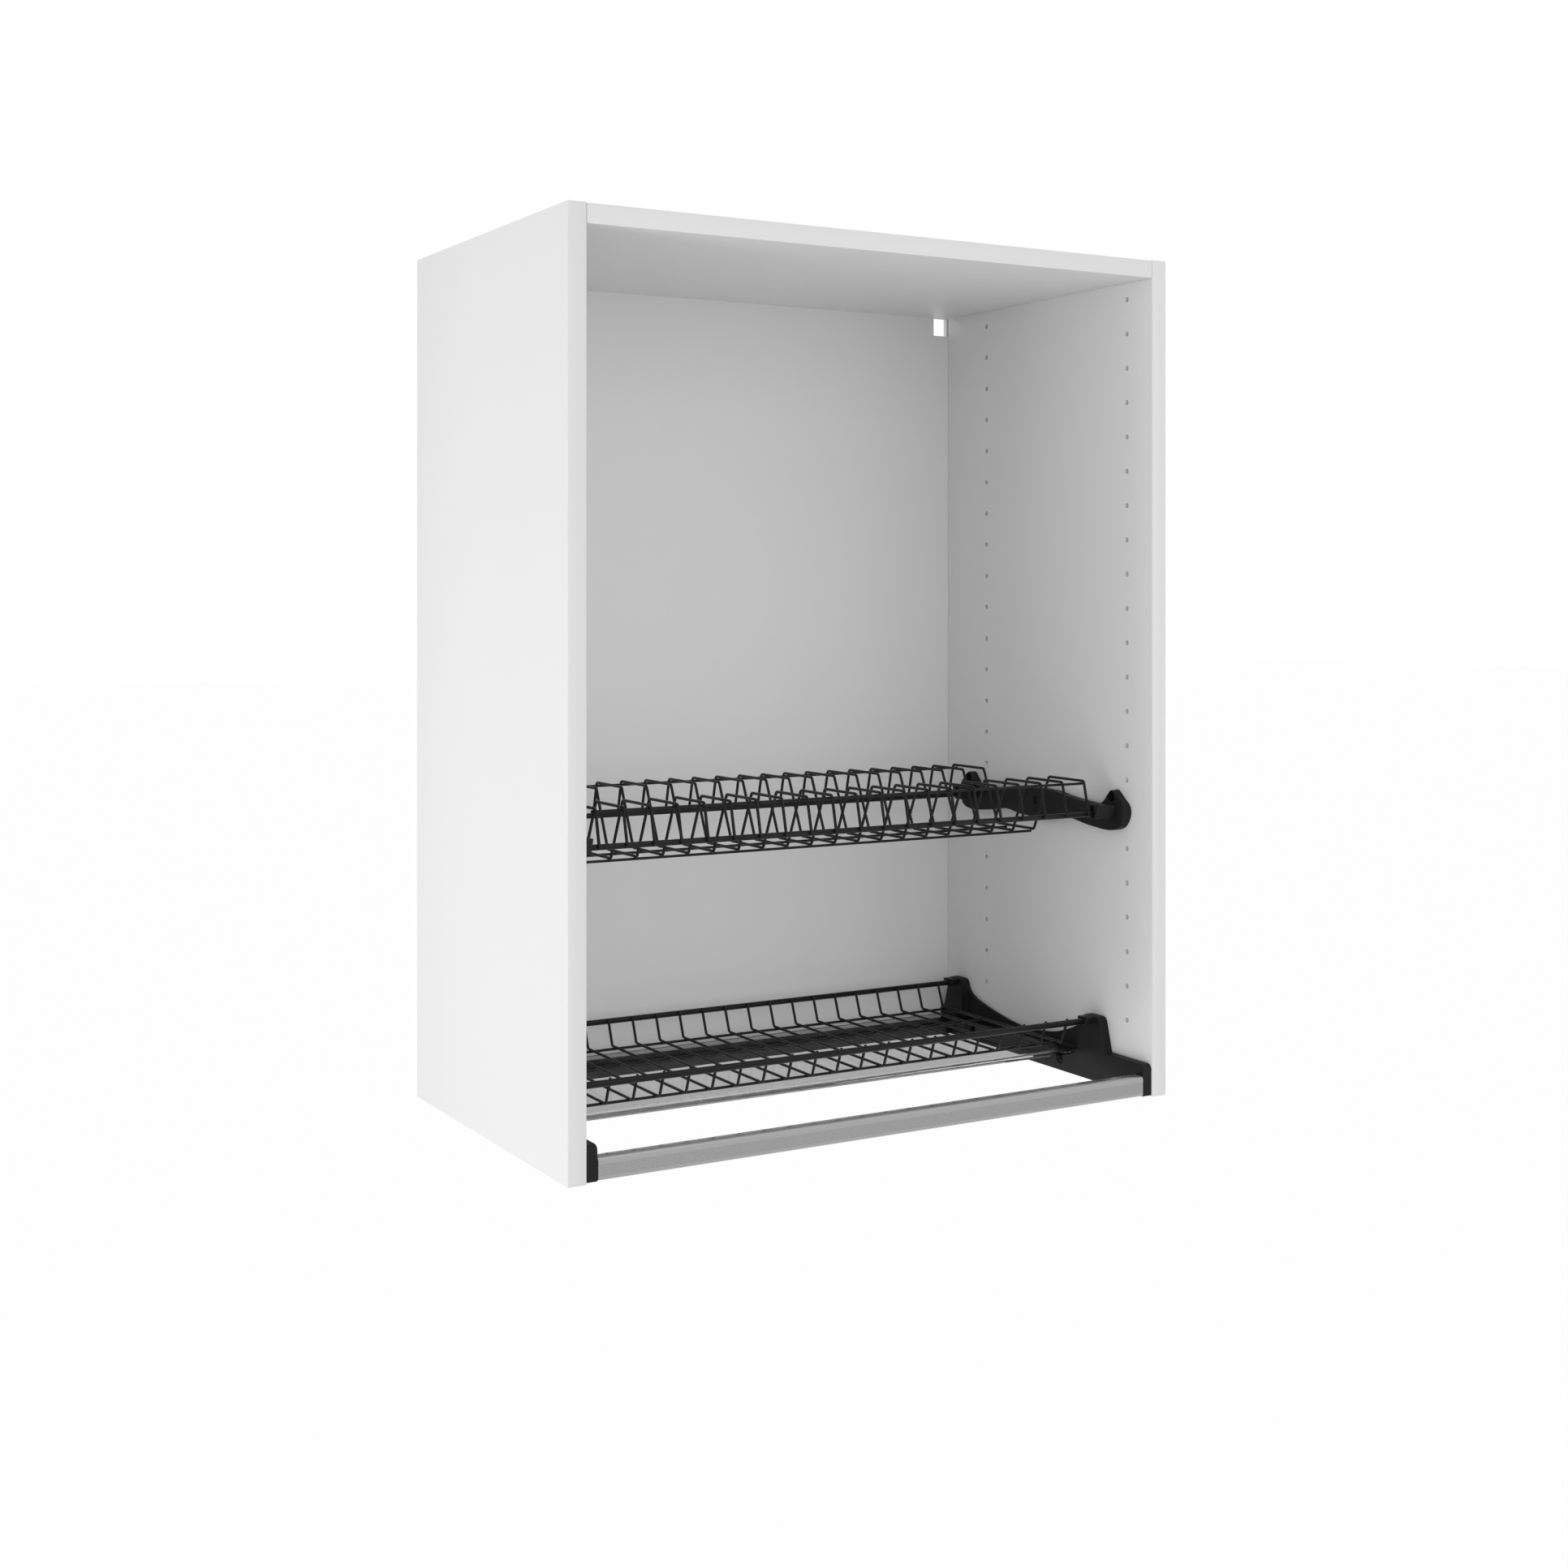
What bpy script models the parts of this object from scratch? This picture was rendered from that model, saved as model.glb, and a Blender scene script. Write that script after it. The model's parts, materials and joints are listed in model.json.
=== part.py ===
"""Dish drainer: an open-bottomed wall unit with a plate rack, a glass rack and a clear drip tray."""

import math

import bmesh
import bpy
from mathutils import Matrix, Vector

# All sizes are in metres. X runs across, Y from the open front to the back, Z up from the lower edges.
# A depth is measured inwards from the inner face of a side panel, a setback from the front plane.

# Carcass
CABINET_WIDTH = 0.600
CABINET_HEIGHT = 0.768
CABINET_DEPTH = 0.338
PANEL_THICKNESS = 0.016
TOP_DROP = 0.0006
BACK_THICKNESS = 0.003
BACK_SETBACK = 0.006
BACK_LIFT = 0.001
GROOVE_DEPTH = 0.005
HANGER_NOTCH_WIDTH = 0.0186
HANGER_NOTCH_HEIGHT = 0.0187

# Clearances
FIT_GAP = 0.0003
CUT_OVERRUN = 0.002
WELD_DISTANCE = 0.00001

# Rows of shelf pin holes in the side panels
PIN_HOLE_DIAMETER = 0.005
PIN_HOLE_DEPTH = 0.010
PIN_HOLE_PITCH = 0.032
PIN_HOLE_FIRST_HEIGHT = 0.064
PIN_HOLE_TOP_MARGIN = 0.010
PIN_ROW_SETBACK = 0.036
PIN_ROW_SPACING = 0.224
PIN_HOLE_SIDES = 8

# Dowels between the top panel and the side panels
DOWEL_DIAMETER = 0.008
DOWEL_LENGTH = 0.030
DOWEL_DEPTH_IN_SIDE = 0.010
DOWEL_FRONT_SETBACK = 0.060
DOWEL_BACK_CLEARANCE = 0.070
ROUND_SIDES = 16

# Screws, pan headed in the plastic parts and flat headed in the rails
SCREW_DIAMETER = 0.0036
SCREW_HEAD_DIAMETER = 0.0085
SCREW_HEAD_HEIGHT = 0.0025
SCREW_CROWN_SHARE = 0.33
SCREW_EDGE_SHARE = 0.45
SCREW_GRIP = 0.011
SCREW_SIDES = 12
RAIL_SCREW_DIAMETER = 0.003
RAIL_SCREW_HEAD_DIAMETER = 0.006
RAIL_SCREW_HEAD_HEIGHT = 0.002
RAIL_SCREW_LENGTH = 0.016

# Base brackets
BRACKET_THICKNESS = 0.010
BRACKET_LIFT = 0.001
BRACKET_SETBACK = 0.001
BRACKET_BAR_TOP = 0.030
BRACKET_WEB_THICKNESS = 0.0035
BRACKET_NOSE_RADIUS = 0.005
BRACKET_SCREW_HEIGHT = 0.0125
BRACKET_SCREW_FRONT_SETBACK = 0.125
BRACKET_SCREW_BACK_CLEARANCE = 0.059
TOWER_REACH = 0.021
TOWER_RISE = 0.032
FRONT_TOWER_SHARES = (
    (-1.0, 0.0), (-0.64, 0.89), (-0.55, 0.96), (-0.4, 1.0),
    (0.44, 1.0), (0.62, 0.84), (0.78, 0.66), (0.95, 0.6)
)
RAMP_SHARES = (
    (0.115, 0.56), (0.138, 0.49), (0.19, 0.34), (0.289, 0.13), (0.413, 0.02),
    (0.543, 0.01), (0.654, 0.1), (0.797, 0.295), (0.9, 0.514)
)
REAR_TOWER_SHARES = (
    (-0.69, 0.72), (-0.6, 0.87), (-0.5, 0.96), (-0.35, 1.0), (0.42, 1.0), (0.69, 0.59), (0.94, 0.0)
)
FRONT_TOWER_WALL_SHARE = 0.92
REAR_TOWER_WALL_SHARE = 0.62
LEDGE_TOP = 0.0242
LEDGE_WIDTH = 0.0075
LEDGE_THICKNESS = 0.0022
SOCKET_DIAMETER = 0.0085
SOCKET_LENGTH = 0.009
ROOF_DROP = 0.0004
ROOF_THICKNESS = 0.003
ROOF_FRONT_REACH = 0.006
ROOF_REAR_REACH = 0.0075
ROD_END_DEPTH = 0.007

# Rails between the brackets
FRONT_RAIL_SETBACK = 0.0005
FRONT_RAIL_DEPTH = 0.0105
FRONT_RAIL_HEIGHT = 0.0185
FRONT_RAIL_LIFT = 0.0015
REAR_RAIL_DEPTH = 0.018
REAR_RAIL_HEIGHT = 0.015
RAIL_WALL = 0.0016
RAIL_BRIDGE = 0.006
RAIL_NOSE_RADIUS = 0.0035
RAIL_FOOT_RADIUS = 0.0025
RAIL_GROOVE_WIDTH = 0.0009
RAIL_GROOVE_DEPTH = 0.0007
RAIL_GROOVE_SETBACK = 0.0045
RAIL_RIB_COUNT = 8
RAIL_RIB_PITCH = 0.0012
RAIL_RIB_DEPTH = 0.0003
RAIL_RIB_FOOT = 0.0032

# Drip tray
TRAY_SETBACK = 0.0915
TRAY_BACK_CLEARANCE = 0.023
TRAY_SIDE_CLEARANCE = 0.0005
TRAY_WALL = 0.0015
TRAY_DEPTH = 0.0072
TRAY_RIM_SIDE = 0.010
TRAY_RIM_FRONT = 0.0165
TRAY_RIM_REAR = 0.006
TRAY_CORNER_RADIUS = 0.014
TRAY_BASIN_RADIUS = 0.010
TRAY_DRAFT = 0.013

# Wires of both racks
WIRE_COUNT = 21
WIRE_END_MARGIN = 0.034
LONG_WIRE_OVERHANG = 0.002
BEND_RADIUS = 0.003

# Glass rack, the lower one
GLASS_ROD_DROP = 0.0045
GLASS_FRONT_ROD_SETBACK = 0.0783
GLASS_REAR_ROD_CLEARANCE = 0.0265
GLASS_FRONT_ROD_DIAMETER = 0.0058
GLASS_REAR_ROD_DIAMETER = 0.0052
GLASS_WIRE_DIAMETER = 0.0025
GLASS_WIRE_END_RISE = 0.003
GLASS_BED_DROP = 0.0207
GLASS_WIRE_LEAN = 0.0092
GLASS_FRONT_WIRE_INSET = 0.0095
GLASS_REAR_WIRE_INSET = 0.005
GLASS_MIDDLE_WIRE_SHARE = 0.66
WELD_SINK = 0.0005

# Plate rack, the upper one
PLATE_ROD_DIAMETER = 0.005
PLATE_WIRE_DIAMETER = 0.0026
PLATE_LONG_WIRE_DIAMETER = 0.0024
PLATE_ROD_DROP = 0.016
PLATE_ROD_SHARE = 0.816
PLATE_FOOT_DROP = 0.0015
HUMP_RISE = 0.031
HUMP_LEAN = 0.0076
HUMP_LENGTH_SHARE = 0.2409
TROUGH_DROP = 0.0211
TROUGH_LEAN = 0.024
HUMP_WIRE_INSET = 0.0045
TROUGH_FRONT_WIRE_INSET = 0.007
TROUGH_REAR_WIRE_INSET = 0.0125

# Side arms that carry the plate rack, alike before and behind their middle
ARM_FRONT_SETBACK = 0.0292
ARM_BACK_CLEARANCE = 0.0302
ARM_HOLE_STEPS = 6.5
ARM_THICKNESS = 0.0085
ARM_END_SLOPE = 0.0103
ARM_DROP = 0.032
ARM_SCREW_SHARE = 0.8553
ARM_HALF_SHARES = (
    (0.2, -0.06), (0.35, -0.16), (0.6, -0.26), (0.742, -0.23), (0.83, 0.13), (0.85, 0.185), (0.87, 0.18),
    (0.932, -0.04), (0.988, -0.24), (1.0, -0.43), (0.984, -0.65), (0.941, -0.87), (0.87, -0.98),
    (0.78, -1.0), (0.68, -0.97), (0.55, -0.91), (0.38, -0.81), (0.19, -0.92)
)
CRADLE_DEPTH = 0.027
CRADLE_LIP_LEAN = 0.0043
CRADLE_REACH = 0.008
CRADLE_LIP = 0.0043
CRADLE_FLOOR_DROP = 0.0205
CRADLE_TOP_DROP = 0.0076
CRADLE_FLARE = 0.0038
ROD_SEAT_LENGTH = 0.009
PIVOT_MARK_DIAMETER = 0.0094
PIVOT_MARK_DEPTH = 0.0012
PIVOT_MARK_DROP = 0.0132
SCREW_RECESS_DEPTH = 0.004

# Places that follow from the sizes
FRONT_Y = -CABINET_DEPTH / 2
REAR_Y = FRONT_Y + CABINET_DEPTH
BACK_FACE_Y = REAR_Y - BACK_SETBACK - BACK_THICKNESS
INNER_X = CABINET_WIDTH / 2 - PANEL_THICKNESS
TOP_Z = CABINET_HEIGHT - TOP_DROP
TOP_UNDERSIDE_Z = TOP_Z - PANEL_THICKNESS
PIN_ROWS_Y = (FRONT_Y + PIN_ROW_SETBACK, FRONT_Y + PIN_ROW_SETBACK + PIN_ROW_SPACING)
PIN_HOLE_RUN = TOP_UNDERSIDE_Z - PIN_HOLE_TOP_MARGIN - PIN_HOLE_FIRST_HEIGHT
PIN_HOLE_COUNT = 1 + math.floor(PIN_HOLE_RUN / PIN_HOLE_PITCH)
ARM_Z = PIN_HOLE_FIRST_HEIGHT + ARM_HOLE_STEPS * PIN_HOLE_PITCH
BRACKET_FRONT_Y = FRONT_Y + BRACKET_SETBACK
BRACKET_REAR_Y = BACK_FACE_Y - FIT_GAP
BRACKET_TOP_Z = BRACKET_BAR_TOP + TOWER_RISE
GLASS_ROD_HEIGHT = BRACKET_TOP_Z - GLASS_ROD_DROP
GLASS_FRONT_ROD_Y = FRONT_Y + GLASS_FRONT_ROD_SETBACK
GLASS_REAR_ROD_Y = BACK_FACE_Y - GLASS_REAR_ROD_CLEARANCE
ARM_ENDS_Y = (FRONT_Y + ARM_FRONT_SETBACK, BACK_FACE_Y - ARM_BACK_CLEARANCE)
ARM_MIDDLE_Y = sum(ARM_ENDS_Y) / 2
ARM_REACH = ARM_ENDS_Y[1] - ARM_MIDDLE_Y
ARM_FACE_REACH = ARM_REACH - ARM_END_SLOPE
ARM_SCREW_REACH = ARM_SCREW_SHARE * ARM_REACH
PLATE_FRONT_ROD_Y = ARM_MIDDLE_Y - PLATE_ROD_SHARE * ARM_REACH
PLATE_REAR_ROD_Y = ARM_MIDDLE_Y + PLATE_ROD_SHARE * ARM_REACH
HUMP_LENGTH = HUMP_LENGTH_SHARE * (PLATE_REAR_ROD_Y - PLATE_FRONT_ROD_Y)
PLATE_ROD_Z = ARM_Z - PLATE_ROD_DROP
TRAY_FRONT_Y = FRONT_Y + TRAY_SETBACK
TRAY_REAR_Y = BACK_FACE_Y - TRAY_BACK_CLEARANCE
TRAY_TOP_Z = LEDGE_TOP + FIT_GAP + TRAY_WALL
FIRST_WIRE_X = WIRE_END_MARGIN - INNER_X
WIRE_PITCH = -2 * FIRST_WIRE_X / (WIRE_COUNT - 1)
WIRE_XS = [FIRST_WIRE_X + WIRE_PITCH * index for index in range(WIRE_COUNT)]
SIDES = (("left", -1), ("right", 1))
ENDS = (("front", -1), ("rear", 1))

# How an outline's own two axes and its thickness lie in the model
OUTLINE_TURNS = {
    "YZ": Matrix(((0, 0, 1, 0), (1, 0, 0, 0), (0, 1, 0, 0), (0, 0, 0, 1))),
    "XY": Matrix.Identity(4),
}


def clear_scene():
    for obj in list(bpy.data.objects):
        bpy.data.objects.remove(obj, do_unlink=True)


def new_collection(name, shown):
    collection = bpy.data.collections.new(name)
    bpy.context.scene.collection.children.link(collection)
    collection.hide_render = not shown
    return collection


def new_material(name, color, roughness, metallic=0.0, transmission=0.0):
    material = bpy.data.materials.new(name)
    material.use_nodes = True
    material.diffuse_color = (*color, 1)
    shader = material.node_tree.nodes["Principled BSDF"]
    shader.inputs["Base Color"].default_value = (*color, 1)
    shader.inputs["Roughness"].default_value = roughness
    shader.inputs["Metallic"].default_value = metallic
    shader.inputs["Transmission Weight"].default_value = transmission
    return material


clear_scene()
PARTS = new_collection("dish_drainer", True)
CUTTERS = new_collection("cutters", False)
MELAMINE = new_material("white_melamine", (0.83, 0.83, 0.82), 0.45)
BACKING = new_material("white_backing_board", (0.80, 0.80, 0.79), 0.55)
BLACK_PLASTIC = new_material("black_moulded_plastic", (0.035, 0.035, 0.037), 0.50)
BLACK_WIRE = new_material("black_coated_wire", (0.030, 0.030, 0.032), 0.38)
ALUMINIUM = new_material("anodised_aluminium", (0.72, 0.72, 0.73), 0.35, metallic=1.0)
CLEAR_PLASTIC = new_material("clear_tray_plastic", (0.85, 0.87, 0.88), 0.10, transmission=1.0)
SCREW_STEEL = new_material("blackened_screw_steel", (0.06, 0.06, 0.06), 0.40, metallic=1.0)
BEECH = new_material("beech_dowel", (0.62, 0.45, 0.28), 0.70)


# Helpers for places


def wall_x(side, depth):
    """X at a depth inwards from the inner face of the side panel on this side."""
    return side * (INNER_X - depth)


def between(low, high, share):
    return low + (high - low) * share


def shared_points(shares, origin, sizes):
    """Points given as shares of two sizes, from an origin."""
    return [(origin[0] + u * sizes[0], origin[1] + v * sizes[1]) for u, v in shares]


def rounded(corners, radius, steps, closed):
    """The corners with an arc of this radius at each one, or at each but the ends of an open line."""
    points = []
    count = len(corners)
    for index, corner in enumerate(corners):
        at_end = index in (0, count - 1)
        bend = radius[index] if isinstance(radius, (list, tuple)) else radius
        if (at_end and not closed) or not bend:
            points.append(tuple(corner))
            continue
        here = Vector(corner)
        back = (Vector(corners[index - 1]) - here).normalized()
        ahead = (Vector(corners[(index + 1) % count]) - here).normalized()
        half = back.angle(ahead) / 2
        middle = here + (back + ahead).normalized() * (bend / math.sin(half))
        start = here + back * (bend / math.tan(half)) - middle
        sweep = math.pi - 2 * half
        turn = 1 if back.x * ahead.y - back.y * ahead.x < 0 else -1
        for step in range(steps + 1):
            spoke = start.copy()
            spoke.rotate(Matrix.Rotation(turn * sweep * step / steps, 2))
            points.append(tuple(middle + spoke))
    return points


def round_ring(center, diameter, sides):
    """Points of a circle in an outline's own two axes."""
    return [
        (
            center[0] + diameter / 2 * math.cos(math.tau * index / sides),
            center[1] + diameter / 2 * math.sin(math.tau * index / sides),
        )
        for index in range(sides)
    ]


# Helpers for meshes


def mesh_of_curve(curve):
    """A closed mesh of a curve, its caps welded to its sides."""
    holder = bpy.data.objects.new("holder", curve)
    bpy.context.scene.collection.objects.link(holder)
    graph = bpy.context.evaluated_depsgraph_get()
    mesh = bpy.data.meshes.new_from_object(holder.evaluated_get(graph))
    bpy.data.objects.remove(holder, do_unlink=True)
    shape = bmesh.new()
    shape.from_mesh(mesh)
    bmesh.ops.remove_doubles(shape, verts=shape.verts, dist=WELD_DISTANCE)
    shape.to_mesh(mesh)
    shape.free()
    return mesh


def outline_mesh(rings, plane, low, high):
    """A flat outline, with any holes in it, made as thick as from low to high across its plane."""
    curve = bpy.data.curves.new("outline", "CURVE")
    curve.dimensions = "2D"
    curve.fill_mode = "BOTH"
    curve.extrude = abs(high - low) / 2
    for ring in rings:
        spline = curve.splines.new("POLY")
        spline.points.add(len(ring) - 1)
        spline.use_cyclic_u = True
        for point, (u, v) in zip(spline.points, ring):
            point.co = (u, v, 0, 1)
    mesh = mesh_of_curve(curve)
    mesh.transform(OUTLINE_TURNS[plane] @ Matrix.Translation((0, 0, (low + high) / 2)))
    return mesh


def wire_curve(name, points, diameter):
    """A round wire along these points."""
    curve = bpy.data.curves.new(name, "CURVE")
    curve.dimensions = "3D"
    curve.bevel_depth = diameter / 2
    curve.bevel_resolution = 2
    curve.use_fill_caps = True
    spline = curve.splines.new("POLY")
    spline.points.add(len(points) - 1)
    for point, place in zip(spline.points, points):
        point.co = (*place, 1)
    return curve


def add_box(shape, xs, ys, zs):
    lows = Vector((min(xs), min(ys), min(zs)))
    highs = Vector((max(xs), max(ys), max(zs)))
    place = Matrix.Translation((lows + highs) / 2) @ Matrix.Diagonal((*(highs - lows), 1))
    bmesh.ops.create_cube(shape, size=1, matrix=place)


def add_cylinder(shape, start, end, diameter, sides):
    start = Vector(start)
    end = Vector(end)
    turn = (end - start).to_track_quat("Z", "Y").to_matrix().to_4x4()
    bmesh.ops.create_cone(
        shape, cap_ends=True, segments=sides, radius1=diameter / 2, radius2=diameter / 2,
        depth=(end - start).length, matrix=Matrix.Translation((start + end) / 2) @ turn,
    )


def mesh_of_shape(name, shape):
    mesh = bpy.data.meshes.new(name)
    shape.to_mesh(mesh)
    shape.free()
    return mesh


def turned_mesh(profile, sides, seat, pointing):
    """A solid turned from radii and places along its axis, which points away from the seat."""
    shape = bmesh.new()
    verts = [shape.verts.new((radius, 0, along)) for radius, along in profile]
    edges = [shape.edges.new(pair) for pair in zip(verts, verts[1:])]
    line = [*verts, *edges]
    bmesh.ops.spin(shape, geom=line, axis=(0, 0, 1), angle=math.tau, steps=sides, use_merge=True)
    bmesh.ops.remove_doubles(shape, verts=shape.verts, dist=WELD_DISTANCE)
    bmesh.ops.recalc_face_normals(shape, faces=shape.faces)
    turn = Vector(pointing).to_track_quat("Z", "Y").to_matrix().to_4x4()
    shape.transform(Matrix.Translation(seat) @ turn)
    return mesh_of_shape("turned", shape)


def stepped_bore_mesh(side, y, z, depths, diameters):
    """A cutter for a screw, wide from the first depth to the second and narrow on to the third."""
    start, seat, end = depths
    way = 1 if start > end else -1
    wide, narrow = (diameter / 2 + FIT_GAP for diameter in diameters)
    reach = (start - seat) * way
    tip = (end - seat) * way
    profile = ((0, reach), (wide, reach), (wide, 0), (narrow, 0), (narrow, tip), (0, tip))
    return turned_mesh(profile, SCREW_SIDES, (wall_x(side, seat), y, z), (-side * way, 0, 0))


def joined_mesh(name, meshes):
    """One mesh that holds all of these."""
    shape = bmesh.new()
    for mesh in meshes:
        shape.from_mesh(mesh)
    return mesh_of_shape(name, shape)


# Helpers for objects


def add_part(name, data, material, origin, smooth=True):
    """A named piece with its origin here. A mesh comes in world places, a curve around its origin."""
    if isinstance(data, bpy.types.Mesh):
        data.transform(Matrix.Translation(-Vector(origin)))
        if smooth:
            data.shade_smooth()
            data.set_sharp_from_angle(angle=math.radians(35))
    data.materials.clear()
    data.materials.append(material)
    part = bpy.data.objects.new(name, data)
    part.location = origin
    PARTS.objects.link(part)
    return part


def add_tool(name, mesh):
    """A mesh that cuts, joins or trims a part."""
    tool = bpy.data.objects.new(name, mesh)
    tool.hide_render = True
    tool.display_type = "WIRE"
    CUTTERS.objects.link(tool)
    return tool


def combine(part, tool, operation):
    modifier = part.modifiers.new(operation.lower(), "BOOLEAN")
    modifier.operation = operation
    modifier.solver = "EXACT"
    modifier.object = tool


def add_anchor(name, place):
    """An empty on a sliding piece's line of travel, which carries that piece."""
    anchor = bpy.data.objects.new(name, None)
    anchor.location = place
    PARTS.objects.link(anchor)
    return anchor


def hang(part, anchor):
    part.parent = anchor
    part.location -= anchor.location


# Carcass


def back_panel_span():
    """The groove for the back panel, front and rear."""
    return BACK_FACE_Y - FIT_GAP, BACK_FACE_Y + BACK_THICKNESS + FIT_GAP


def dowel_places_y():
    return (("front", FRONT_Y + DOWEL_FRONT_SETBACK), ("rear", BACK_FACE_Y - DOWEL_BACK_CLEARANCE))


def bracket_screw_places():
    """Y and Z of the screws that hold a base bracket to its side panel."""
    return (
        ("front", FRONT_Y + BRACKET_SCREW_FRONT_SETBACK, BRACKET_SCREW_HEIGHT),
        ("rear", BACK_FACE_Y - BRACKET_SCREW_BACK_CLEARANCE, BRACKET_SCREW_HEIGHT),
    )


def arm_screw_places():
    return [(place, ARM_MIDDLE_Y + way * ARM_SCREW_REACH, ARM_Z) for place, way in ENDS]


def side_panel(label, side):
    panel = bmesh.new()
    add_box(panel, (side * INNER_X, side * CABINET_WIDTH / 2), (FRONT_Y, REAR_Y), (0, CABINET_HEIGHT))
    origin = (side * CABINET_WIDTH / 2, FRONT_Y, 0)
    part = add_part(f"side_panel_{label}", mesh_of_shape("side_panel", panel), MELAMINE, origin, False)
    holes = bmesh.new()
    for y in PIN_ROWS_Y:
        for index in range(PIN_HOLE_COUNT):
            z = PIN_HOLE_FIRST_HEIGHT + index * PIN_HOLE_PITCH
            start = (wall_x(side, CUT_OVERRUN), y, z)
            end = (wall_x(side, -PIN_HOLE_DEPTH), y, z)
            add_cylinder(holes, start, end, PIN_HOLE_DIAMETER, PIN_HOLE_SIDES)
    for _, y in dowel_places_y():
        z = TOP_UNDERSIDE_Z + PANEL_THICKNESS / 2
        start = (wall_x(side, CUT_OVERRUN), y, z)
        end = (wall_x(side, -DOWEL_DEPTH_IN_SIDE), y, z)
        add_cylinder(holes, start, end, DOWEL_DIAMETER + 2 * FIT_GAP, ROUND_SIDES)
    for _, y, z in (*bracket_screw_places(), *arm_screw_places()):
        start = (wall_x(side, CUT_OVERRUN), y, z)
        end = (wall_x(side, -SCREW_GRIP - FIT_GAP), y, z)
        add_cylinder(holes, start, end, SCREW_DIAMETER + 2 * FIT_GAP, SCREW_SIDES)
    groove_xs = (wall_x(side, CUT_OVERRUN), wall_x(side, -GROOVE_DEPTH))
    add_box(holes, groove_xs, back_panel_span(), (-CUT_OVERRUN, TOP_UNDERSIDE_Z + GROOVE_DEPTH))
    combine(part, add_tool(f"side_panel_{label}_holes", mesh_of_shape("holes", holes)), "DIFFERENCE")


def top_panel():
    half = INNER_X - FIT_GAP
    panel = bmesh.new()
    add_box(panel, (-half, half), (FRONT_Y, REAR_Y), (TOP_UNDERSIDE_Z, TOP_Z))
    part = add_part("top_panel", mesh_of_shape("top_panel", panel), MELAMINE, (0, FRONT_Y, TOP_Z), False)
    cuts = bmesh.new()
    for _, side in SIDES:
        for _, y in dowel_places_y():
            z = TOP_UNDERSIDE_Z + PANEL_THICKNESS / 2
            start = (wall_x(side, -CUT_OVERRUN), y, z)
            end = (wall_x(side, DOWEL_LENGTH - DOWEL_DEPTH_IN_SIDE + FIT_GAP), y, z)
            add_cylinder(cuts, start, end, DOWEL_DIAMETER + 2 * FIT_GAP, ROUND_SIDES)
    groove_zs = (TOP_UNDERSIDE_Z - CUT_OVERRUN, TOP_UNDERSIDE_Z + GROOVE_DEPTH)
    add_box(cuts, (-INNER_X, INNER_X), back_panel_span(), groove_zs)
    combine(part, add_tool("top_panel_cuts", mesh_of_shape("cuts", cuts)), "DIFFERENCE")


def back_panel():
    half = INNER_X + GROOVE_DEPTH - FIT_GAP
    top = TOP_UNDERSIDE_Z + GROOVE_DEPTH - FIT_GAP
    panel = bmesh.new()
    add_box(panel, (-half, half), (BACK_FACE_Y, BACK_FACE_Y + BACK_THICKNESS), (BACK_LIFT, top))
    origin = (0, BACK_FACE_Y, BACK_LIFT)
    part = add_part("back_panel", mesh_of_shape("back_panel", panel), BACKING, origin, False)
    cuts = bmesh.new()
    for _, side in SIDES:
        xs = (wall_x(side, HANGER_NOTCH_WIDTH), side * (half + CUT_OVERRUN))
        ys = (BACK_FACE_Y - CUT_OVERRUN, BACK_FACE_Y + BACK_THICKNESS + CUT_OVERRUN)
        add_box(cuts, xs, ys, (TOP_UNDERSIDE_Z - HANGER_NOTCH_HEIGHT, top + CUT_OVERRUN))
    combine(part, add_tool("back_panel_cuts", mesh_of_shape("cuts", cuts)), "DIFFERENCE")


def dowels():
    for label, side in SIDES:
        for place, y in dowel_places_y():
            z = TOP_UNDERSIDE_Z + PANEL_THICKNESS / 2
            outer = -DOWEL_DEPTH_IN_SIDE + FIT_GAP
            start = (wall_x(side, outer), y, z)
            end = (wall_x(side, outer + DOWEL_LENGTH - FIT_GAP), y, z)
            shape = bmesh.new()
            add_cylinder(shape, start, end, DOWEL_DIAMETER, ROUND_SIDES)
            add_part(f"dowel_{label}_{place}", mesh_of_shape("dowel", shape), BEECH, start)


# Screws


def screw(name, side, y, z, seat_depth, inward, head, shank_diameter, length):
    """A turned screw whose head rests at this depth, its shank pointing inwards or into the side panel."""
    head_diameter, head_height = head
    profile = (
        (0, head_height), (head_diameter * SCREW_CROWN_SHARE, head_height),
        (head_diameter / 2, head_height * SCREW_EDGE_SHARE), (head_diameter / 2, 0),
        (shank_diameter / 2, 0), (shank_diameter / 2, shank_diameter - length), (0, -length),
    )
    seat = (wall_x(side, seat_depth), y, z)
    mesh = turned_mesh(profile, SCREW_SIDES, seat, (side if inward else -side, 0, 0))
    add_part(name, mesh, SCREW_STEEL, seat)


def wall_screws():
    head = (SCREW_HEAD_DIAMETER, SCREW_HEAD_HEIGHT)
    for label, side in SIDES:
        bracket_seat = BRACKET_THICKNESS - SCREW_HEAD_HEIGHT
        for place, y, z in bracket_screw_places():
            name = f"bracket_screw_{label}_{place}"
            screw(name, side, y, z, bracket_seat, False, head, SCREW_DIAMETER, bracket_seat + SCREW_GRIP)
        arm_seat = ARM_THICKNESS - SCREW_RECESS_DEPTH + FIT_GAP
        for place, y, z in arm_screw_places():
            name = f"arm_screw_{label}_{place}"
            screw(name, side, y, z, arm_seat, False, head, SCREW_DIAMETER, arm_seat + SCREW_GRIP)


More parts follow.
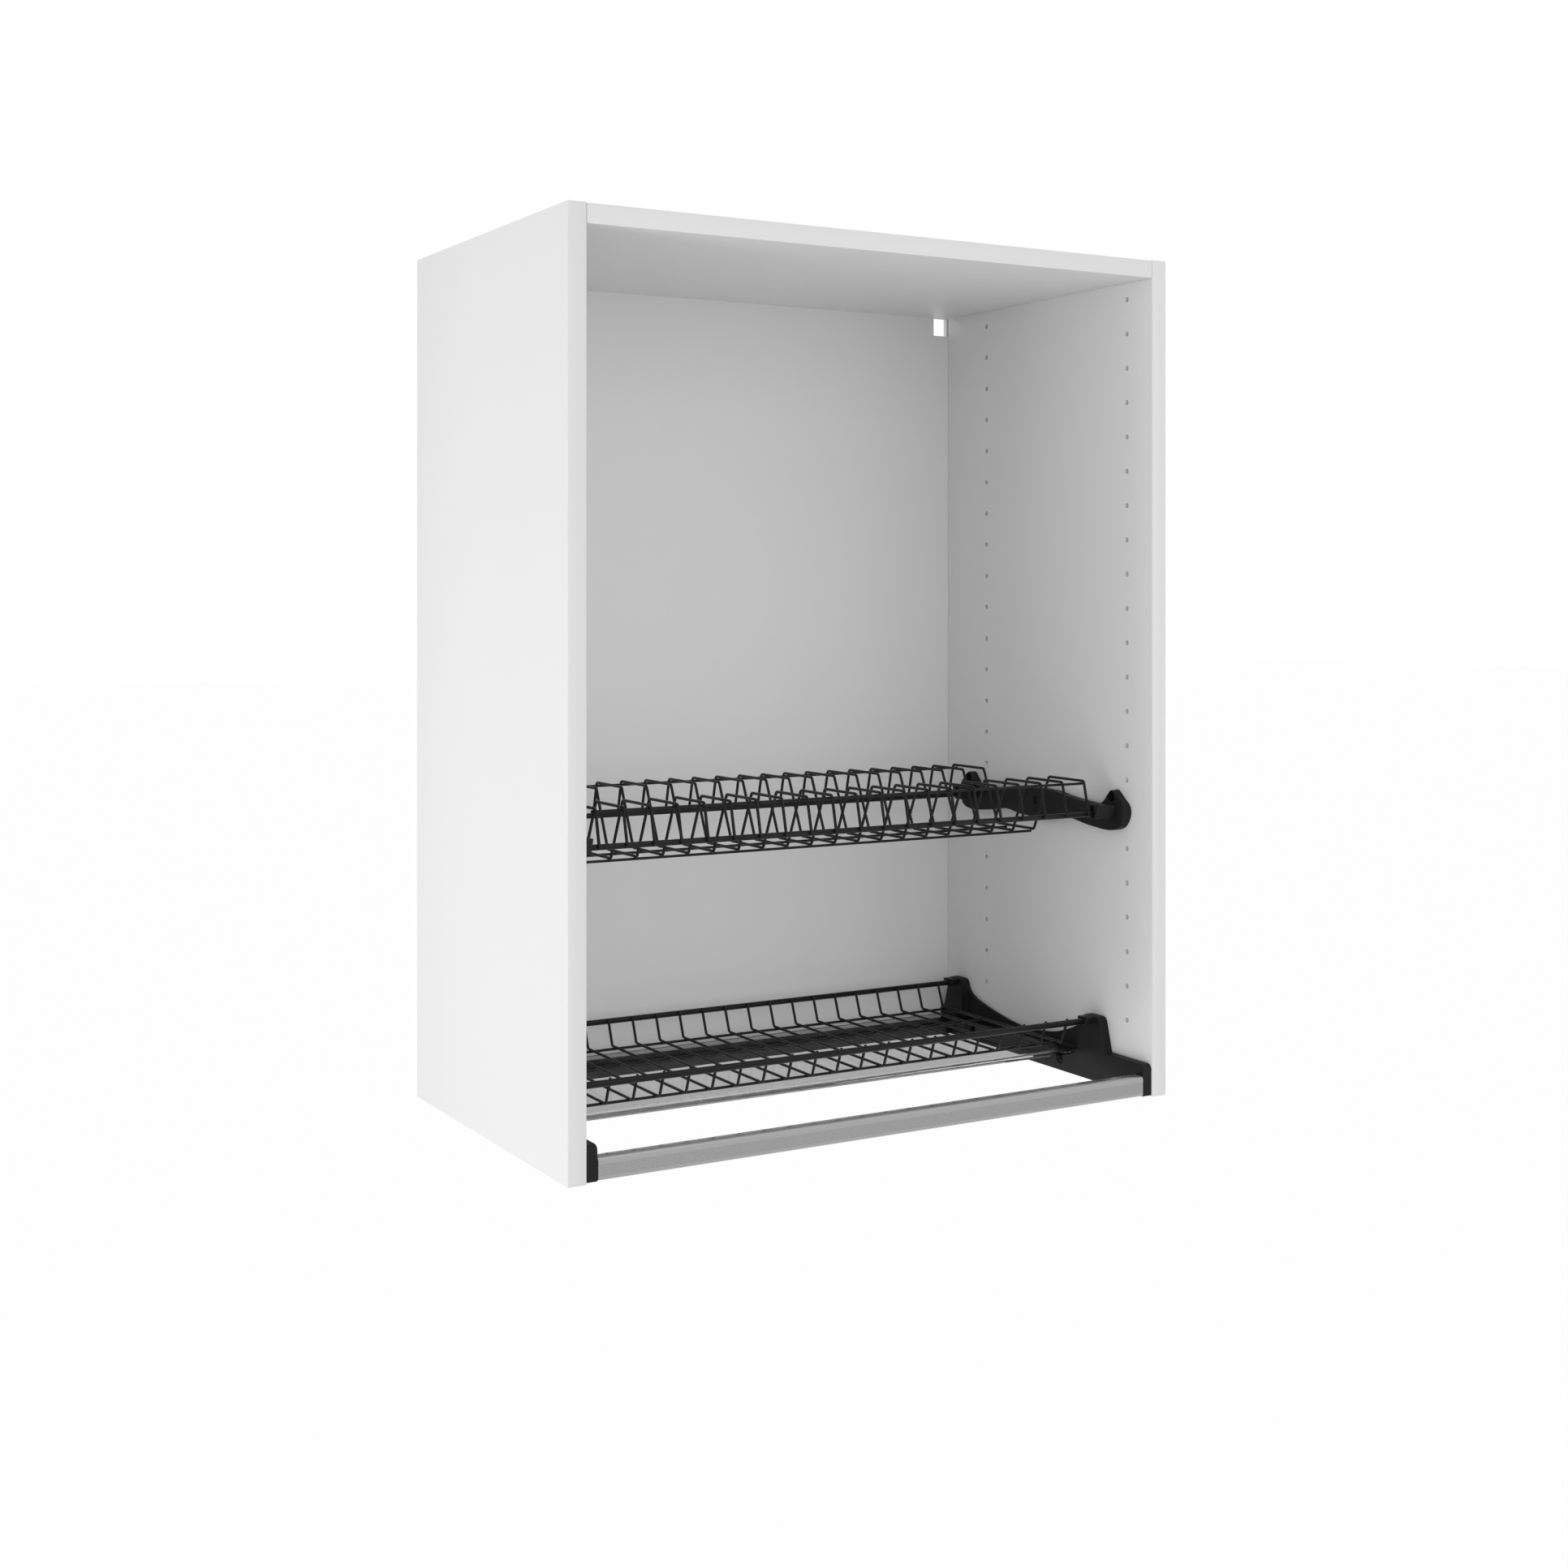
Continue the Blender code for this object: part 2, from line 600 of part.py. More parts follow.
def rail_screws():
    head = (RAIL_SCREW_HEAD_DIAMETER, RAIL_SCREW_HEAD_HEIGHT)
    seat = 2 * FIT_GAP + RAIL_SCREW_HEAD_HEIGHT
    for label, side in SIDES:
        for place, (y, z) in (("front", front_rail_middle()), ("rear", rear_rail_middle())):
            name = f"rail_screw_{label}_{place}"
            screw(name, side, y, z, seat, True, head, RAIL_SCREW_DIAMETER, RAIL_SCREW_LENGTH)


# Base brackets


def bracket_outline():
    nose = [(BRACKET_FRONT_Y, BRACKET_LIFT), (BRACKET_FRONT_Y, BRACKET_BAR_TOP)]
    tower = (TOWER_REACH, TOWER_RISE)
    ramp = (GLASS_REAR_ROD_Y - GLASS_FRONT_ROD_Y, TOWER_RISE)
    front = shared_points(FRONT_TOWER_SHARES, (GLASS_FRONT_ROD_Y, BRACKET_BAR_TOP), tower)
    middle = shared_points(RAMP_SHARES, (GLASS_FRONT_ROD_Y, BRACKET_BAR_TOP), ramp)
    rear = shared_points(REAR_TOWER_SHARES, (GLASS_REAR_ROD_Y, BRACKET_BAR_TOP), tower)
    end = [(BRACKET_REAR_Y, BRACKET_BAR_TOP), (BRACKET_REAR_Y, BRACKET_LIFT)]
    corners = [*nose, *front, *middle, *rear, *end]
    radii = [0, BRACKET_NOSE_RADIUS] + [0] * (len(corners) - 2)
    return rounded(corners, radii, 4, True)


def bracket_additions(side):
    """The rod sockets with their roofs and the ledge that the tray slides on."""
    inner = BRACKET_THICKNESS - CUT_OVERRUN
    for rod_y in (GLASS_FRONT_ROD_Y, GLASS_REAR_ROD_Y):
        start = (wall_x(side, BRACKET_THICKNESS + SOCKET_LENGTH), rod_y, GLASS_ROD_HEIGHT)
        end = (wall_x(side, inner), rod_y, GLASS_ROD_HEIGHT)
        socket = bmesh.new()
        add_cylinder(socket, start, end, SOCKET_DIAMETER, ROUND_SIDES)
        yield mesh_of_shape("socket", socket)
        roof = bmesh.new()
        xs = (wall_x(side, BRACKET_THICKNESS + SOCKET_LENGTH), wall_x(side, inner))
        ys = (rod_y - ROOF_FRONT_REACH, rod_y + ROOF_REAR_REACH)
        top = BRACKET_TOP_Z - ROOF_DROP
        add_box(roof, xs, ys, (top - ROOF_THICKNESS, top))
        yield mesh_of_shape("roof", roof)
    ledge = bmesh.new()
    xs = (wall_x(side, BRACKET_THICKNESS + LEDGE_WIDTH), wall_x(side, inner))
    ys = (TRAY_FRONT_Y + TRAY_CORNER_RADIUS, TRAY_REAR_Y - TRAY_CORNER_RADIUS)
    add_box(ledge, xs, ys, (LEDGE_TOP - LEDGE_THICKNESS, LEDGE_TOP))
    yield mesh_of_shape("ledge", ledge)


def bracket_cuts(side):
    """The bores for rods and screws, and the thin web between the towers."""
    cuts = bmesh.new()
    rods = ((GLASS_FRONT_ROD_Y, GLASS_FRONT_ROD_DIAMETER), (GLASS_REAR_ROD_Y, GLASS_REAR_ROD_DIAMETER))
    for rod_y, diameter in rods:
        start = (wall_x(side, BRACKET_THICKNESS + SOCKET_LENGTH + CUT_OVERRUN), rod_y, GLASS_ROD_HEIGHT)
        end = (wall_x(side, BRACKET_THICKNESS - ROD_END_DEPTH - FIT_GAP), rod_y, GLASS_ROD_HEIGHT)
        add_cylinder(cuts, start, end, diameter + 2 * FIT_GAP, ROUND_SIDES)
    xs = (wall_x(side, BRACKET_THICKNESS + CUT_OVERRUN), wall_x(side, BRACKET_WEB_THICKNESS))
    ys = (
        GLASS_FRONT_ROD_Y + FRONT_TOWER_WALL_SHARE * TOWER_REACH,
        GLASS_REAR_ROD_Y - REAR_TOWER_WALL_SHARE * TOWER_REACH,
    )
    add_box(cuts, xs, ys, (TRAY_TOP_Z, BRACKET_TOP_Z + CUT_OVERRUN))
    yield mesh_of_shape("cuts", cuts)
    seat = BRACKET_THICKNESS - SCREW_HEAD_HEIGHT - FIT_GAP
    depths = (BRACKET_THICKNESS + CUT_OVERRUN, seat, -CUT_OVERRUN)
    for _, y, z in bracket_screw_places():
        yield stepped_bore_mesh(side, y, z, depths, (SCREW_HEAD_DIAMETER, SCREW_DIAMETER))
    depths = (-CUT_OVERRUN, RAIL_SCREW_HEAD_HEIGHT + 3 * FIT_GAP, BRACKET_THICKNESS + CUT_OVERRUN)
    for y, z in (front_rail_middle(), rear_rail_middle()):
        yield stepped_bore_mesh(side, y, z, depths, (RAIL_SCREW_HEAD_DIAMETER, RAIL_SCREW_DIAMETER))


def base_bracket(label, side):
    plate = outline_mesh([bracket_outline()], "YZ", wall_x(side, FIT_GAP), wall_x(side, BRACKET_THICKNESS))
    origin = (wall_x(side, FIT_GAP), BRACKET_FRONT_Y, BRACKET_LIFT)
    part = add_part(f"base_bracket_{label}", plate, BLACK_PLASTIC, origin)
    for index, mesh in enumerate(bracket_additions(side)):
        combine(part, add_tool(f"base_bracket_{label}_addition_{index}", mesh), "UNION")
    cuts = joined_mesh("cuts", bracket_cuts(side))
    combine(part, add_tool(f"base_bracket_{label}_cuts", cuts), "DIFFERENCE")


# Rails


def front_rail_middle():
    """Y and Z of the screw bore along the front rail."""
    return FRONT_Y + FRONT_RAIL_SETBACK + FRONT_RAIL_DEPTH / 2, FRONT_RAIL_LIFT + FRONT_RAIL_HEIGHT / 2


def rear_rail_middle():
    return BRACKET_REAR_Y - REAR_RAIL_DEPTH / 2, BRACKET_LIFT + REAR_RAIL_HEIGHT / 2


def rail_hollows(middle, depth, height):
    """The two chambers of a rail, and the screw bore in the bridge between them."""
    ys = (middle[0] - depth / 2 + RAIL_WALL, middle[0] + depth / 2 - RAIL_WALL)
    reach = height / 2 - RAIL_WALL
    for low, high in ((-reach, -RAIL_BRIDGE / 2), (RAIL_BRIDGE / 2, reach)):
        low += middle[1]
        high += middle[1]
        yield [(ys[0], low), (ys[1], low), (ys[1], high), (ys[0], high)]
    yield round_ring(middle, RAIL_SCREW_DIAMETER + 2 * FIT_GAP, SCREW_SIDES)


def front_rail_outline():
    y, z = front_rail_middle()
    front, rear = y - FRONT_RAIL_DEPTH / 2, y + FRONT_RAIL_DEPTH / 2
    foot, head = z - FRONT_RAIL_HEIGHT / 2, z + FRONT_RAIL_HEIGHT / 2
    ribs = []
    for index in range(RAIL_RIB_COUNT):
        rib = foot + RAIL_RIB_FOOT + index * RAIL_RIB_PITCH
        ribs += [(front, rib), (front + RAIL_RIB_DEPTH, rib + RAIL_RIB_PITCH / 2)]
    ribs.append((front, foot + RAIL_RIB_FOOT + RAIL_RIB_COUNT * RAIL_RIB_PITCH))
    groove = front + RAIL_GROOVE_SETBACK
    top = [(groove, head), (groove, head - RAIL_GROOVE_DEPTH)]
    top += [(groove + RAIL_GROOVE_WIDTH, head - RAIL_GROOVE_DEPTH), (groove + RAIL_GROOVE_WIDTH, head)]
    corners = [(rear, foot), (front, foot), *ribs, (front, head), *top, (rear, head)]
    radii = [0, RAIL_FOOT_RADIUS] + [0] * len(ribs) + [RAIL_NOSE_RADIUS] + [0] * (len(top) + 1)
    return rounded(corners, radii, 4, True)


def front_rail():
    half = INNER_X - BRACKET_THICKNESS - FIT_GAP
    middle = front_rail_middle()
    rings = [front_rail_outline(), *rail_hollows(middle, FRONT_RAIL_DEPTH, FRONT_RAIL_HEIGHT)]
    add_part("front_rail", outline_mesh(rings, "YZ", -half, half), ALUMINIUM, (0, *middle))


def rear_rail():
    half = INNER_X - BRACKET_THICKNESS - FIT_GAP
    y, z = rear_rail_middle()
    ys = (y - REAR_RAIL_DEPTH / 2, y + REAR_RAIL_DEPTH / 2)
    zs = (z - REAR_RAIL_HEIGHT / 2, z + REAR_RAIL_HEIGHT / 2)
    outline = [(ys[1], zs[0]), (ys[0], zs[0]), (ys[0], zs[1]), (ys[1], zs[1])]
    rings = [outline, *rail_hollows((y, z), REAR_RAIL_DEPTH, REAR_RAIL_HEIGHT)]
    add_part("rear_rail", outline_mesh(rings, "YZ", -half, half), BLACK_PLASTIC, (0, y, z))


# Drip tray


def rounded_rectangle(half_width, ys, radius):
    corners = [(-half_width, ys[0]), (half_width, ys[0]), (half_width, ys[1]), (-half_width, ys[1])]
    return rounded(corners, radius, 4, True)


def drip_tray():
    """A basin with a flat rim. Its shell hangs below the surface that the wire frame of loops describes."""
    half = INNER_X - BRACKET_THICKNESS - TRAY_SIDE_CLEARANCE
    basin_ys = (TRAY_FRONT_Y + TRAY_RIM_FRONT, TRAY_REAR_Y - TRAY_RIM_REAR)
    floor_ys = (basin_ys[0] + TRAY_DRAFT, basin_ys[1] - TRAY_DRAFT)
    floor_z = TRAY_TOP_Z - TRAY_DEPTH
    loops = (
        (rounded_rectangle(half, (TRAY_FRONT_Y, TRAY_REAR_Y), TRAY_CORNER_RADIUS), TRAY_TOP_Z),
        (rounded_rectangle(half - TRAY_RIM_SIDE, basin_ys, TRAY_BASIN_RADIUS), TRAY_TOP_Z),
        (rounded_rectangle(half - TRAY_RIM_SIDE - TRAY_DRAFT, floor_ys, TRAY_BASIN_RADIUS), floor_z),
    )
    shape = bmesh.new()
    edges = []
    for outline, z in loops:
        verts = [shape.verts.new((x, y, z)) for x, y in outline]
        edges.append([shape.edges.new((verts[index - 1], vert)) for index, vert in enumerate(verts)])
    shape.faces.new(verts)
    for outer, inner in zip(edges, edges[1:]):
        bmesh.ops.bridge_loops(shape, edges=outer + inner)
    bmesh.ops.recalc_face_normals(shape, faces=shape.faces)
    shape.normal_update()
    if sum(face.normal.z for face in shape.faces) < 0:
        bmesh.ops.reverse_faces(shape, faces=shape.faces)
    origin = (0, TRAY_FRONT_Y, TRAY_TOP_Z)
    part = add_part("drip_tray", mesh_of_shape("drip_tray", shape), CLEAR_PLASTIC, origin)
    shell = part.modifiers.new("shell", "SOLIDIFY")
    shell.thickness = TRAY_WALL
    shell.offset = -1
    shell.use_even_offset = True
    hang(part, add_anchor("drip_tray_slide", origin))


# Glass rack


def rod(name, y, z, diameter, half):
    """A straight rod or wire across the unit."""
    points = ((-half, 0, 0), (half, 0, 0))
    return add_part(name, wire_curve(name, points, diameter), BLACK_WIRE, (0, y, z))


def touching_offset(rod_diameter, wire_diameter, run, rise):
    """How far a leaning wire passes from a rod's axis, level with it, when the two just touch."""
    return ((rod_diameter + wire_diameter) / 2 + FIT_GAP) * math.hypot(run, rise) / rise


def glass_wire_points():
    """Y and Z of a cross wire, from its front end to its rear end, and its two lower corners in Y."""
    bed = GLASS_ROD_HEIGHT - GLASS_BED_DROP
    tip = GLASS_ROD_HEIGHT + GLASS_WIRE_END_RISE
    slope = (GLASS_WIRE_LEAN, tip - bed)
    lean = GLASS_WIRE_LEAN / (tip - bed)
    front = GLASS_FRONT_ROD_Y + touching_offset(GLASS_FRONT_ROD_DIAMETER, GLASS_WIRE_DIAMETER, *slope)
    rear = GLASS_REAR_ROD_Y - touching_offset(GLASS_REAR_ROD_DIAMETER, GLASS_WIRE_DIAMETER, *slope)
    front_corner = front + lean * GLASS_BED_DROP
    rear_corner = rear - lean * GLASS_BED_DROP
    corners = [(front_corner, bed), (rear_corner, bed)]
    corners.insert(0, (front - lean * GLASS_WIRE_END_RISE, tip))
    corners.append((rear + lean * GLASS_WIRE_END_RISE, tip))
    return rounded(corners, BEND_RADIUS, 1, False), (front_corner, rear_corner)


def glass_rack():
    half = INNER_X - BRACKET_THICKNESS + ROD_END_DEPTH
    rod("glass_rack_front_rod", GLASS_FRONT_ROD_Y, GLASS_ROD_HEIGHT, GLASS_FRONT_ROD_DIAMETER, half)
    rod("glass_rack_rear_rod", GLASS_REAR_ROD_Y, GLASS_ROD_HEIGHT, GLASS_REAR_ROD_DIAMETER, half)
    points, (front_corner, rear_corner) = glass_wire_points()
    wires = []
    for x in WIRE_XS:
        places = [(x, y, z) for y, z in points]
        wires.append(mesh_of_curve(wire_curve("cross_wire", places, GLASS_WIRE_DIAMETER)))
    origin = (0, front_corner, GLASS_ROD_HEIGHT)
    grid = add_part("glass_rack_grid", joined_mesh("glass_rack_grid", wires), BLACK_WIRE, origin)
    z = GLASS_ROD_HEIGHT - GLASS_BED_DROP - GLASS_WIRE_DIAMETER + WELD_SINK
    reach = LONG_WIRE_OVERHANG - FIRST_WIRE_X
    ys = (
        front_corner + GLASS_FRONT_WIRE_INSET,
        between(front_corner, rear_corner, GLASS_MIDDLE_WIRE_SHARE),
        rear_corner - GLASS_REAR_WIRE_INSET,
    )
    long_wires = []
    for y in ys:
        places = ((-reach, y, z), (reach, y, z))
        long_wires.append(mesh_of_curve(wire_curve("long_wire", places, GLASS_WIRE_DIAMETER)))
    combine(grid, add_tool("glass_rack_long_wires", joined_mesh("long_wires", long_wires)), "UNION")


# Plate rack


def plate_wire_corners():
    """Y and Z of the corners of a plate wire: up over a hump, down through the trough, over a second hump."""
    offset = touching_offset(PLATE_ROD_DIAMETER, PLATE_WIRE_DIAMETER, HUMP_LEAN, HUMP_RISE)
    level = PLATE_FRONT_ROD_Y - offset
    lean = HUMP_LEAN / HUMP_RISE
    hump = PLATE_ROD_Z + HUMP_RISE
    half = [
        (level - lean * PLATE_FOOT_DROP, PLATE_ROD_Z - PLATE_FOOT_DROP),
        (level + HUMP_LEAN, hump),
        (level + HUMP_LEAN + HUMP_LENGTH, hump),
        (level + HUMP_LEAN + HUMP_LENGTH + TROUGH_LEAN, PLATE_ROD_Z - TROUGH_DROP),
    ]
    both = PLATE_FRONT_ROD_Y + PLATE_REAR_ROD_Y
    return half + [(both - y, z) for y, z in reversed(half)]


def plate_rack():
    middle_y = (PLATE_FRONT_ROD_Y + PLATE_REAR_ROD_Y) / 2
    anchor = add_anchor("plate_rack_lift", (0, middle_y, PLATE_ROD_Z))
    half = INNER_X - CRADLE_DEPTH + ROD_SEAT_LENGTH
    hang(rod("plate_rack_front_rod", PLATE_FRONT_ROD_Y, PLATE_ROD_Z, PLATE_ROD_DIAMETER, half), anchor)
    hang(rod("plate_rack_rear_rod", PLATE_REAR_ROD_Y, PLATE_ROD_Z, PLATE_ROD_DIAMETER, half), anchor)
    corners = plate_wire_corners()
    points = [(0, y - middle_y, z - PLATE_ROD_Z) for y, z in rounded(corners, BEND_RADIUS, 1, False)]
    wire = wire_curve("plate_wire", points, PLATE_WIRE_DIAMETER)
    for index, x in enumerate(WIRE_XS, 1):
        hang(add_part(f"plate_wire_{index:02d}", wire, BLACK_WIRE, (x, middle_y, PLATE_ROD_Z)), anchor)
    below = (PLATE_WIRE_DIAMETER + PLATE_LONG_WIRE_DIAMETER) / 2 + FIT_GAP
    hump_z = PLATE_ROD_Z + HUMP_RISE - below
    trough_z = PLATE_ROD_Z - TROUGH_DROP - below
    reach = LONG_WIRE_OVERHANG - FIRST_WIRE_X
    long_wires = (
        ("hump_wire_front", corners[1][0] + HUMP_WIRE_INSET, hump_z),
        ("trough_wire_front", corners[3][0] + TROUGH_FRONT_WIRE_INSET, trough_z),
        ("trough_wire_rear", corners[4][0] - TROUGH_REAR_WIRE_INSET, trough_z),
        ("hump_wire_rear", corners[6][0] - HUMP_WIRE_INSET, hump_z),
    )
    for name, y, z in long_wires:
        hang(rod(name, y, z, PLATE_LONG_WIRE_DIAMETER, reach), anchor)


# Side arms


def arm_plate_mesh(side):
    """The arm against the side panel, whose ends slope out from its face to the panel."""
    halves = []
    for _, way in ENDS:
        halves.append(shared_points(ARM_HALF_SHARES, (ARM_MIDDLE_Y, ARM_Z), (way * ARM_REACH, ARM_DROP)))
    face = wall_x(side, ARM_THICKNESS)
    mesh = outline_mesh([halves[0] + halves[1][::-1]], "YZ", wall_x(side, FIT_GAP), face)
    for vert in mesh.vertices:
        if abs(vert.co.x - face) < WELD_DISTANCE:
            along = vert.co.y - ARM_MIDDLE_Y
            vert.co.y = ARM_MIDDLE_Y + max(-ARM_FACE_REACH, min(ARM_FACE_REACH, along))
    return mesh


def cradle_mesh(side, way, rod_y):
    """A block that holds one end of a rod. Its lip leans outwards at the top and flares towards the panel."""
    shape = bmesh.new()
    loops = []
    root = wall_x(side, ARM_THICKNESS - CUT_OVERRUN)
    face = wall_x(side, CRADLE_DEPTH)
    foot = (ARM_Z - CRADLE_FLOOR_DROP, CRADLE_LIP)
    top = (ARM_Z - CRADLE_TOP_DROP, CRADLE_LIP + CRADLE_LIP_LEAN)
    for z, lip in (foot, top):
        corners = (
            (root, -CRADLE_REACH), (face, -CRADLE_REACH), (face, lip), (root, lip + CRADLE_FLARE)
        )
        verts = [shape.verts.new((x, rod_y + way * along, z)) for x, along in corners]
        shape.faces.new(verts)
        loops += [shape.edges.get((verts[index - 1], vert)) for index, vert in enumerate(verts)]
    bmesh.ops.bridge_loops(shape, edges=loops)
    bmesh.ops.recalc_face_normals(shape, faces=shape.faces)
    return mesh_of_shape("cradle", shape)


def arm_cuts(side):
    """The open seats for the rods, the screw recesses and the round mark."""
    cuts = bmesh.new()
    seat = CRADLE_DEPTH - ROD_SEAT_LENGTH - FIT_GAP
    seat_xs = (wall_x(side, CRADLE_DEPTH + CUT_OVERRUN), wall_x(side, seat))
    reach = PLATE_ROD_DIAMETER / 2 + FIT_GAP
    for rod_y in (PLATE_FRONT_ROD_Y, PLATE_REAR_ROD_Y):
        add_box(cuts, seat_xs, (rod_y - reach, rod_y + reach), (PLATE_ROD_Z - reach, ARM_Z + CUT_OVERRUN))
    z = ARM_Z - PIVOT_MARK_DROP
    start = (wall_x(side, ARM_THICKNESS + CUT_OVERRUN), ARM_MIDDLE_Y, z)
    end = (wall_x(side, ARM_THICKNESS - PIVOT_MARK_DEPTH), ARM_MIDDLE_Y, z)
    add_cylinder(cuts, start, end, PIVOT_MARK_DIAMETER, ROUND_SIDES)
    yield mesh_of_shape("cuts", cuts)
    depths = (ARM_THICKNESS + CUT_OVERRUN, ARM_THICKNESS - SCREW_RECESS_DEPTH, -CUT_OVERRUN)
    for _, y, z in arm_screw_places():
        yield stepped_bore_mesh(side, y, z, depths, (SCREW_HEAD_DIAMETER, SCREW_DIAMETER))


def side_arm(label, side):
    origin = (wall_x(side, FIT_GAP), ARM_MIDDLE_Y, ARM_Z)
    part = add_part(f"side_arm_{label}", arm_plate_mesh(side), BLACK_PLASTIC, origin)
    for (place, way), rod_y in zip(ENDS, (PLATE_FRONT_ROD_Y, PLATE_REAR_ROD_Y)):
        combine(part, add_tool(f"side_arm_{label}_cradle_{place}", cradle_mesh(side, way, rod_y)), "UNION")
    cuts = joined_mesh("cuts", arm_cuts(side))
    combine(part, add_tool(f"side_arm_{label}_cuts", cuts), "DIFFERENCE")


def main():
    for label, side in SIDES:
        side_panel(label, side)
        base_bracket(label, side)
        side_arm(label, side)
    top_panel()
    back_panel()
    dowels()
    front_rail()
    rear_rail()
    wall_screws()
    rail_screws()
    drip_tray()
    glass_rack()
    plate_rack()


main()
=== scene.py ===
"""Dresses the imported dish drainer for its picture: boards, wire racks, fittings, tray and studio."""

import json
import math
from contextlib import contextmanager

import bmesh
import bpy
from bpy.props import FloatProperty, FloatVectorProperty, IntProperty, PointerProperty
from mathutils import Matrix, Vector


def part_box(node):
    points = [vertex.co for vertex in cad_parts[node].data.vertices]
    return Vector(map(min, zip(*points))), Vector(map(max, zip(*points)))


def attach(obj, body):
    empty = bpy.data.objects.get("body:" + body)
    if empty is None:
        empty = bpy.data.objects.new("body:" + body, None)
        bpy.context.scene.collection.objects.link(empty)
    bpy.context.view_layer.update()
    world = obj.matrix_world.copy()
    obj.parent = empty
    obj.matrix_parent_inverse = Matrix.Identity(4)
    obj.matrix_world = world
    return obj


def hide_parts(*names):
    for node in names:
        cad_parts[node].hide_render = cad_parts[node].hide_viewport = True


bl_info = {
    "name": "Dish drainer",
    "version": (1, 0, 0),
    "blender": (4, 5, 0),
    "location": "3D View > Sidebar > Drainer",
    "description": "Models and finishes a wall-hung dish drainer over its fixed frame",
    "category": "Object",
}

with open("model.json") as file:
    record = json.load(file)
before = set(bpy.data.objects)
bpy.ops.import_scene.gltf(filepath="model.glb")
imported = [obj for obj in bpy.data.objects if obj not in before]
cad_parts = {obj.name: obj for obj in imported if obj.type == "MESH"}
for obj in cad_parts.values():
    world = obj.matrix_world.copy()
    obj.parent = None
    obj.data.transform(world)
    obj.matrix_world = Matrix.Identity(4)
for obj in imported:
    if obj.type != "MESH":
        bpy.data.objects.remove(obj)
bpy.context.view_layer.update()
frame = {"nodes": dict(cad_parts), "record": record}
NODES = frame["nodes"]
ENDS = (("front", -1), ("rear", 1))


def box_of(name):
    """A node's lowest corner, highest corner and middle."""
    low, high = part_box(name)
    return low, high, (low + high) / 2


def rods_of(rack):
    """The middles of a rack's front and rear rods."""
    return [box_of(f"{rack}_{place}_rod")[2] for place, _ in ENDS]


# Sizes and colours that a user may change


class BoardSettings(bpy.types.PropertyGroup):
    colour: FloatVectorProperty(
        name="Board colour", description="White of the melamine faces", subtype="COLOR",
        default=(0.79, 0.79, 0.79), min=0, max=1,
    )
    back_colour: FloatVectorProperty(
        name="Back colour", description="White of the lacquered back", subtype="COLOR",
        default=(0.775, 0.775, 0.775), min=0, max=1,
    )
    edge_round: FloatProperty(
        name="Edge round", description="Radius along the boards' edges", unit="LENGTH",
        default=0.0005, min=0.0001, max=0.002, precision=5,
    )
    pin_hole: FloatProperty(
        name="Pin hole", description="Diameter of a shelf-pin hole", unit="LENGTH",
        default=0.005, min=0.003, max=0.008, precision=4,
    )


class WireSettings(bpy.types.PropertyGroup):
    colour: FloatVectorProperty(
        name="Coating colour", description="Colour of the coating on the racks", subtype="COLOR",
        default=(0.0078, 0.0078, 0.0081), min=0, max=1,
    )
    bend: FloatProperty(
        name="Bend radius", description="Radius of a wire's bends at its middle line", unit="LENGTH",
        default=0.003, min=0.002, max=0.006, precision=4,
    )
    bend_steps: IntProperty(
        name="Bend steps", description="Steps in one bend of a wire", default=5, min=2, max=12,
    )
    wire_sides: IntProperty(
        name="Wire sides", description="Sides of a wire's round section", default=14, min=8, max=32,
    )


class FittingSettings(bpy.types.PropertyGroup):
    colour: FloatVectorProperty(
        name="Plastic colour", description="Colour of the moulded fittings", subtype="COLOR",
        default=(0.0105, 0.0105, 0.0109), min=0, max=1,
    )
    rail_colour: FloatVectorProperty(
        name="Rail colour", description="Tone of the anodised rail", subtype="COLOR",
        default=(0.33, 0.33, 0.334), min=0, max=1,
    )


class TraySettings(bpy.types.PropertyGroup):
    tint: FloatVectorProperty(
        name="Tray tint", description="Tint of the clear tray's floor", subtype="COLOR",
        default=(0.43, 0.43, 0.43), min=0, max=1,
    )
    # The rim and sloping walls get a lighter tint than the floor: painted light, as if they caught more
    # light, though the tray is one clear plastic throughout
    rim_painted_light_tint: FloatVectorProperty(
        name="Rim tint", description="Tint of the tray's rim and sloping walls", subtype="COLOR",
        default=(0.76, 0.76, 0.76), min=0, max=1,
    )
    soft_edge: FloatProperty(
        name="Soft edge", description="Width of the rounding at the basin's rim and foot", unit="LENGTH",
        default=0.001, min=0.0005, max=0.004, precision=4,
    )


class StudioSettings(bpy.types.PropertyGroup):
    ambient: FloatProperty(
        name="Ambient", description="Strength of the even light from all round", default=0.60, min=0, max=2,
    )
    front_power: FloatProperty(
        name="Front power", description="Power of the large lamp before the unit", unit="POWER",
        default=14.6, min=0, max=400,
    )
    right_power: FloatProperty(
        name="Right power", description="Power of the lamp before the unit's right side", unit="POWER",
        default=10, min=0, max=400,
    )
    left_power: FloatProperty(
        name="Left power", description="Power of the low lamp on the left", unit="POWER",
        default=36, min=0, max=400,
    )
    top_power: FloatProperty(
        name="Top power", description="Power of the lamp above", unit="POWER", default=4.8, min=0, max=400,
    )
    lens: FloatProperty(
        name="Lens", description="Focal length on a 36 mm sensor, in millimetres",
        default=47.65, min=20, max=120,
    )


SETTINGS = {
    "drainer_boards": BoardSettings,
    "drainer_wires": WireSettings,
    "drainer_fittings": FittingSettings,
    "drainer_tray": TraySettings,
    "drainer_studio": StudioSettings,
}


# Selecting and shaping by hand


# Lengths are in metres, and the angles of smooth shading in degrees
NEAR = 0.0001
MERGE_DISTANCE = 0.000001
SEED_SIZE = 0.001
SHARP_ANGLE = math.radians(30)
SOLID_SMOOTH = 35
WIRE_SMOOTH = 45
ROUND_SIDES = 24
FINE_SIDES = 32


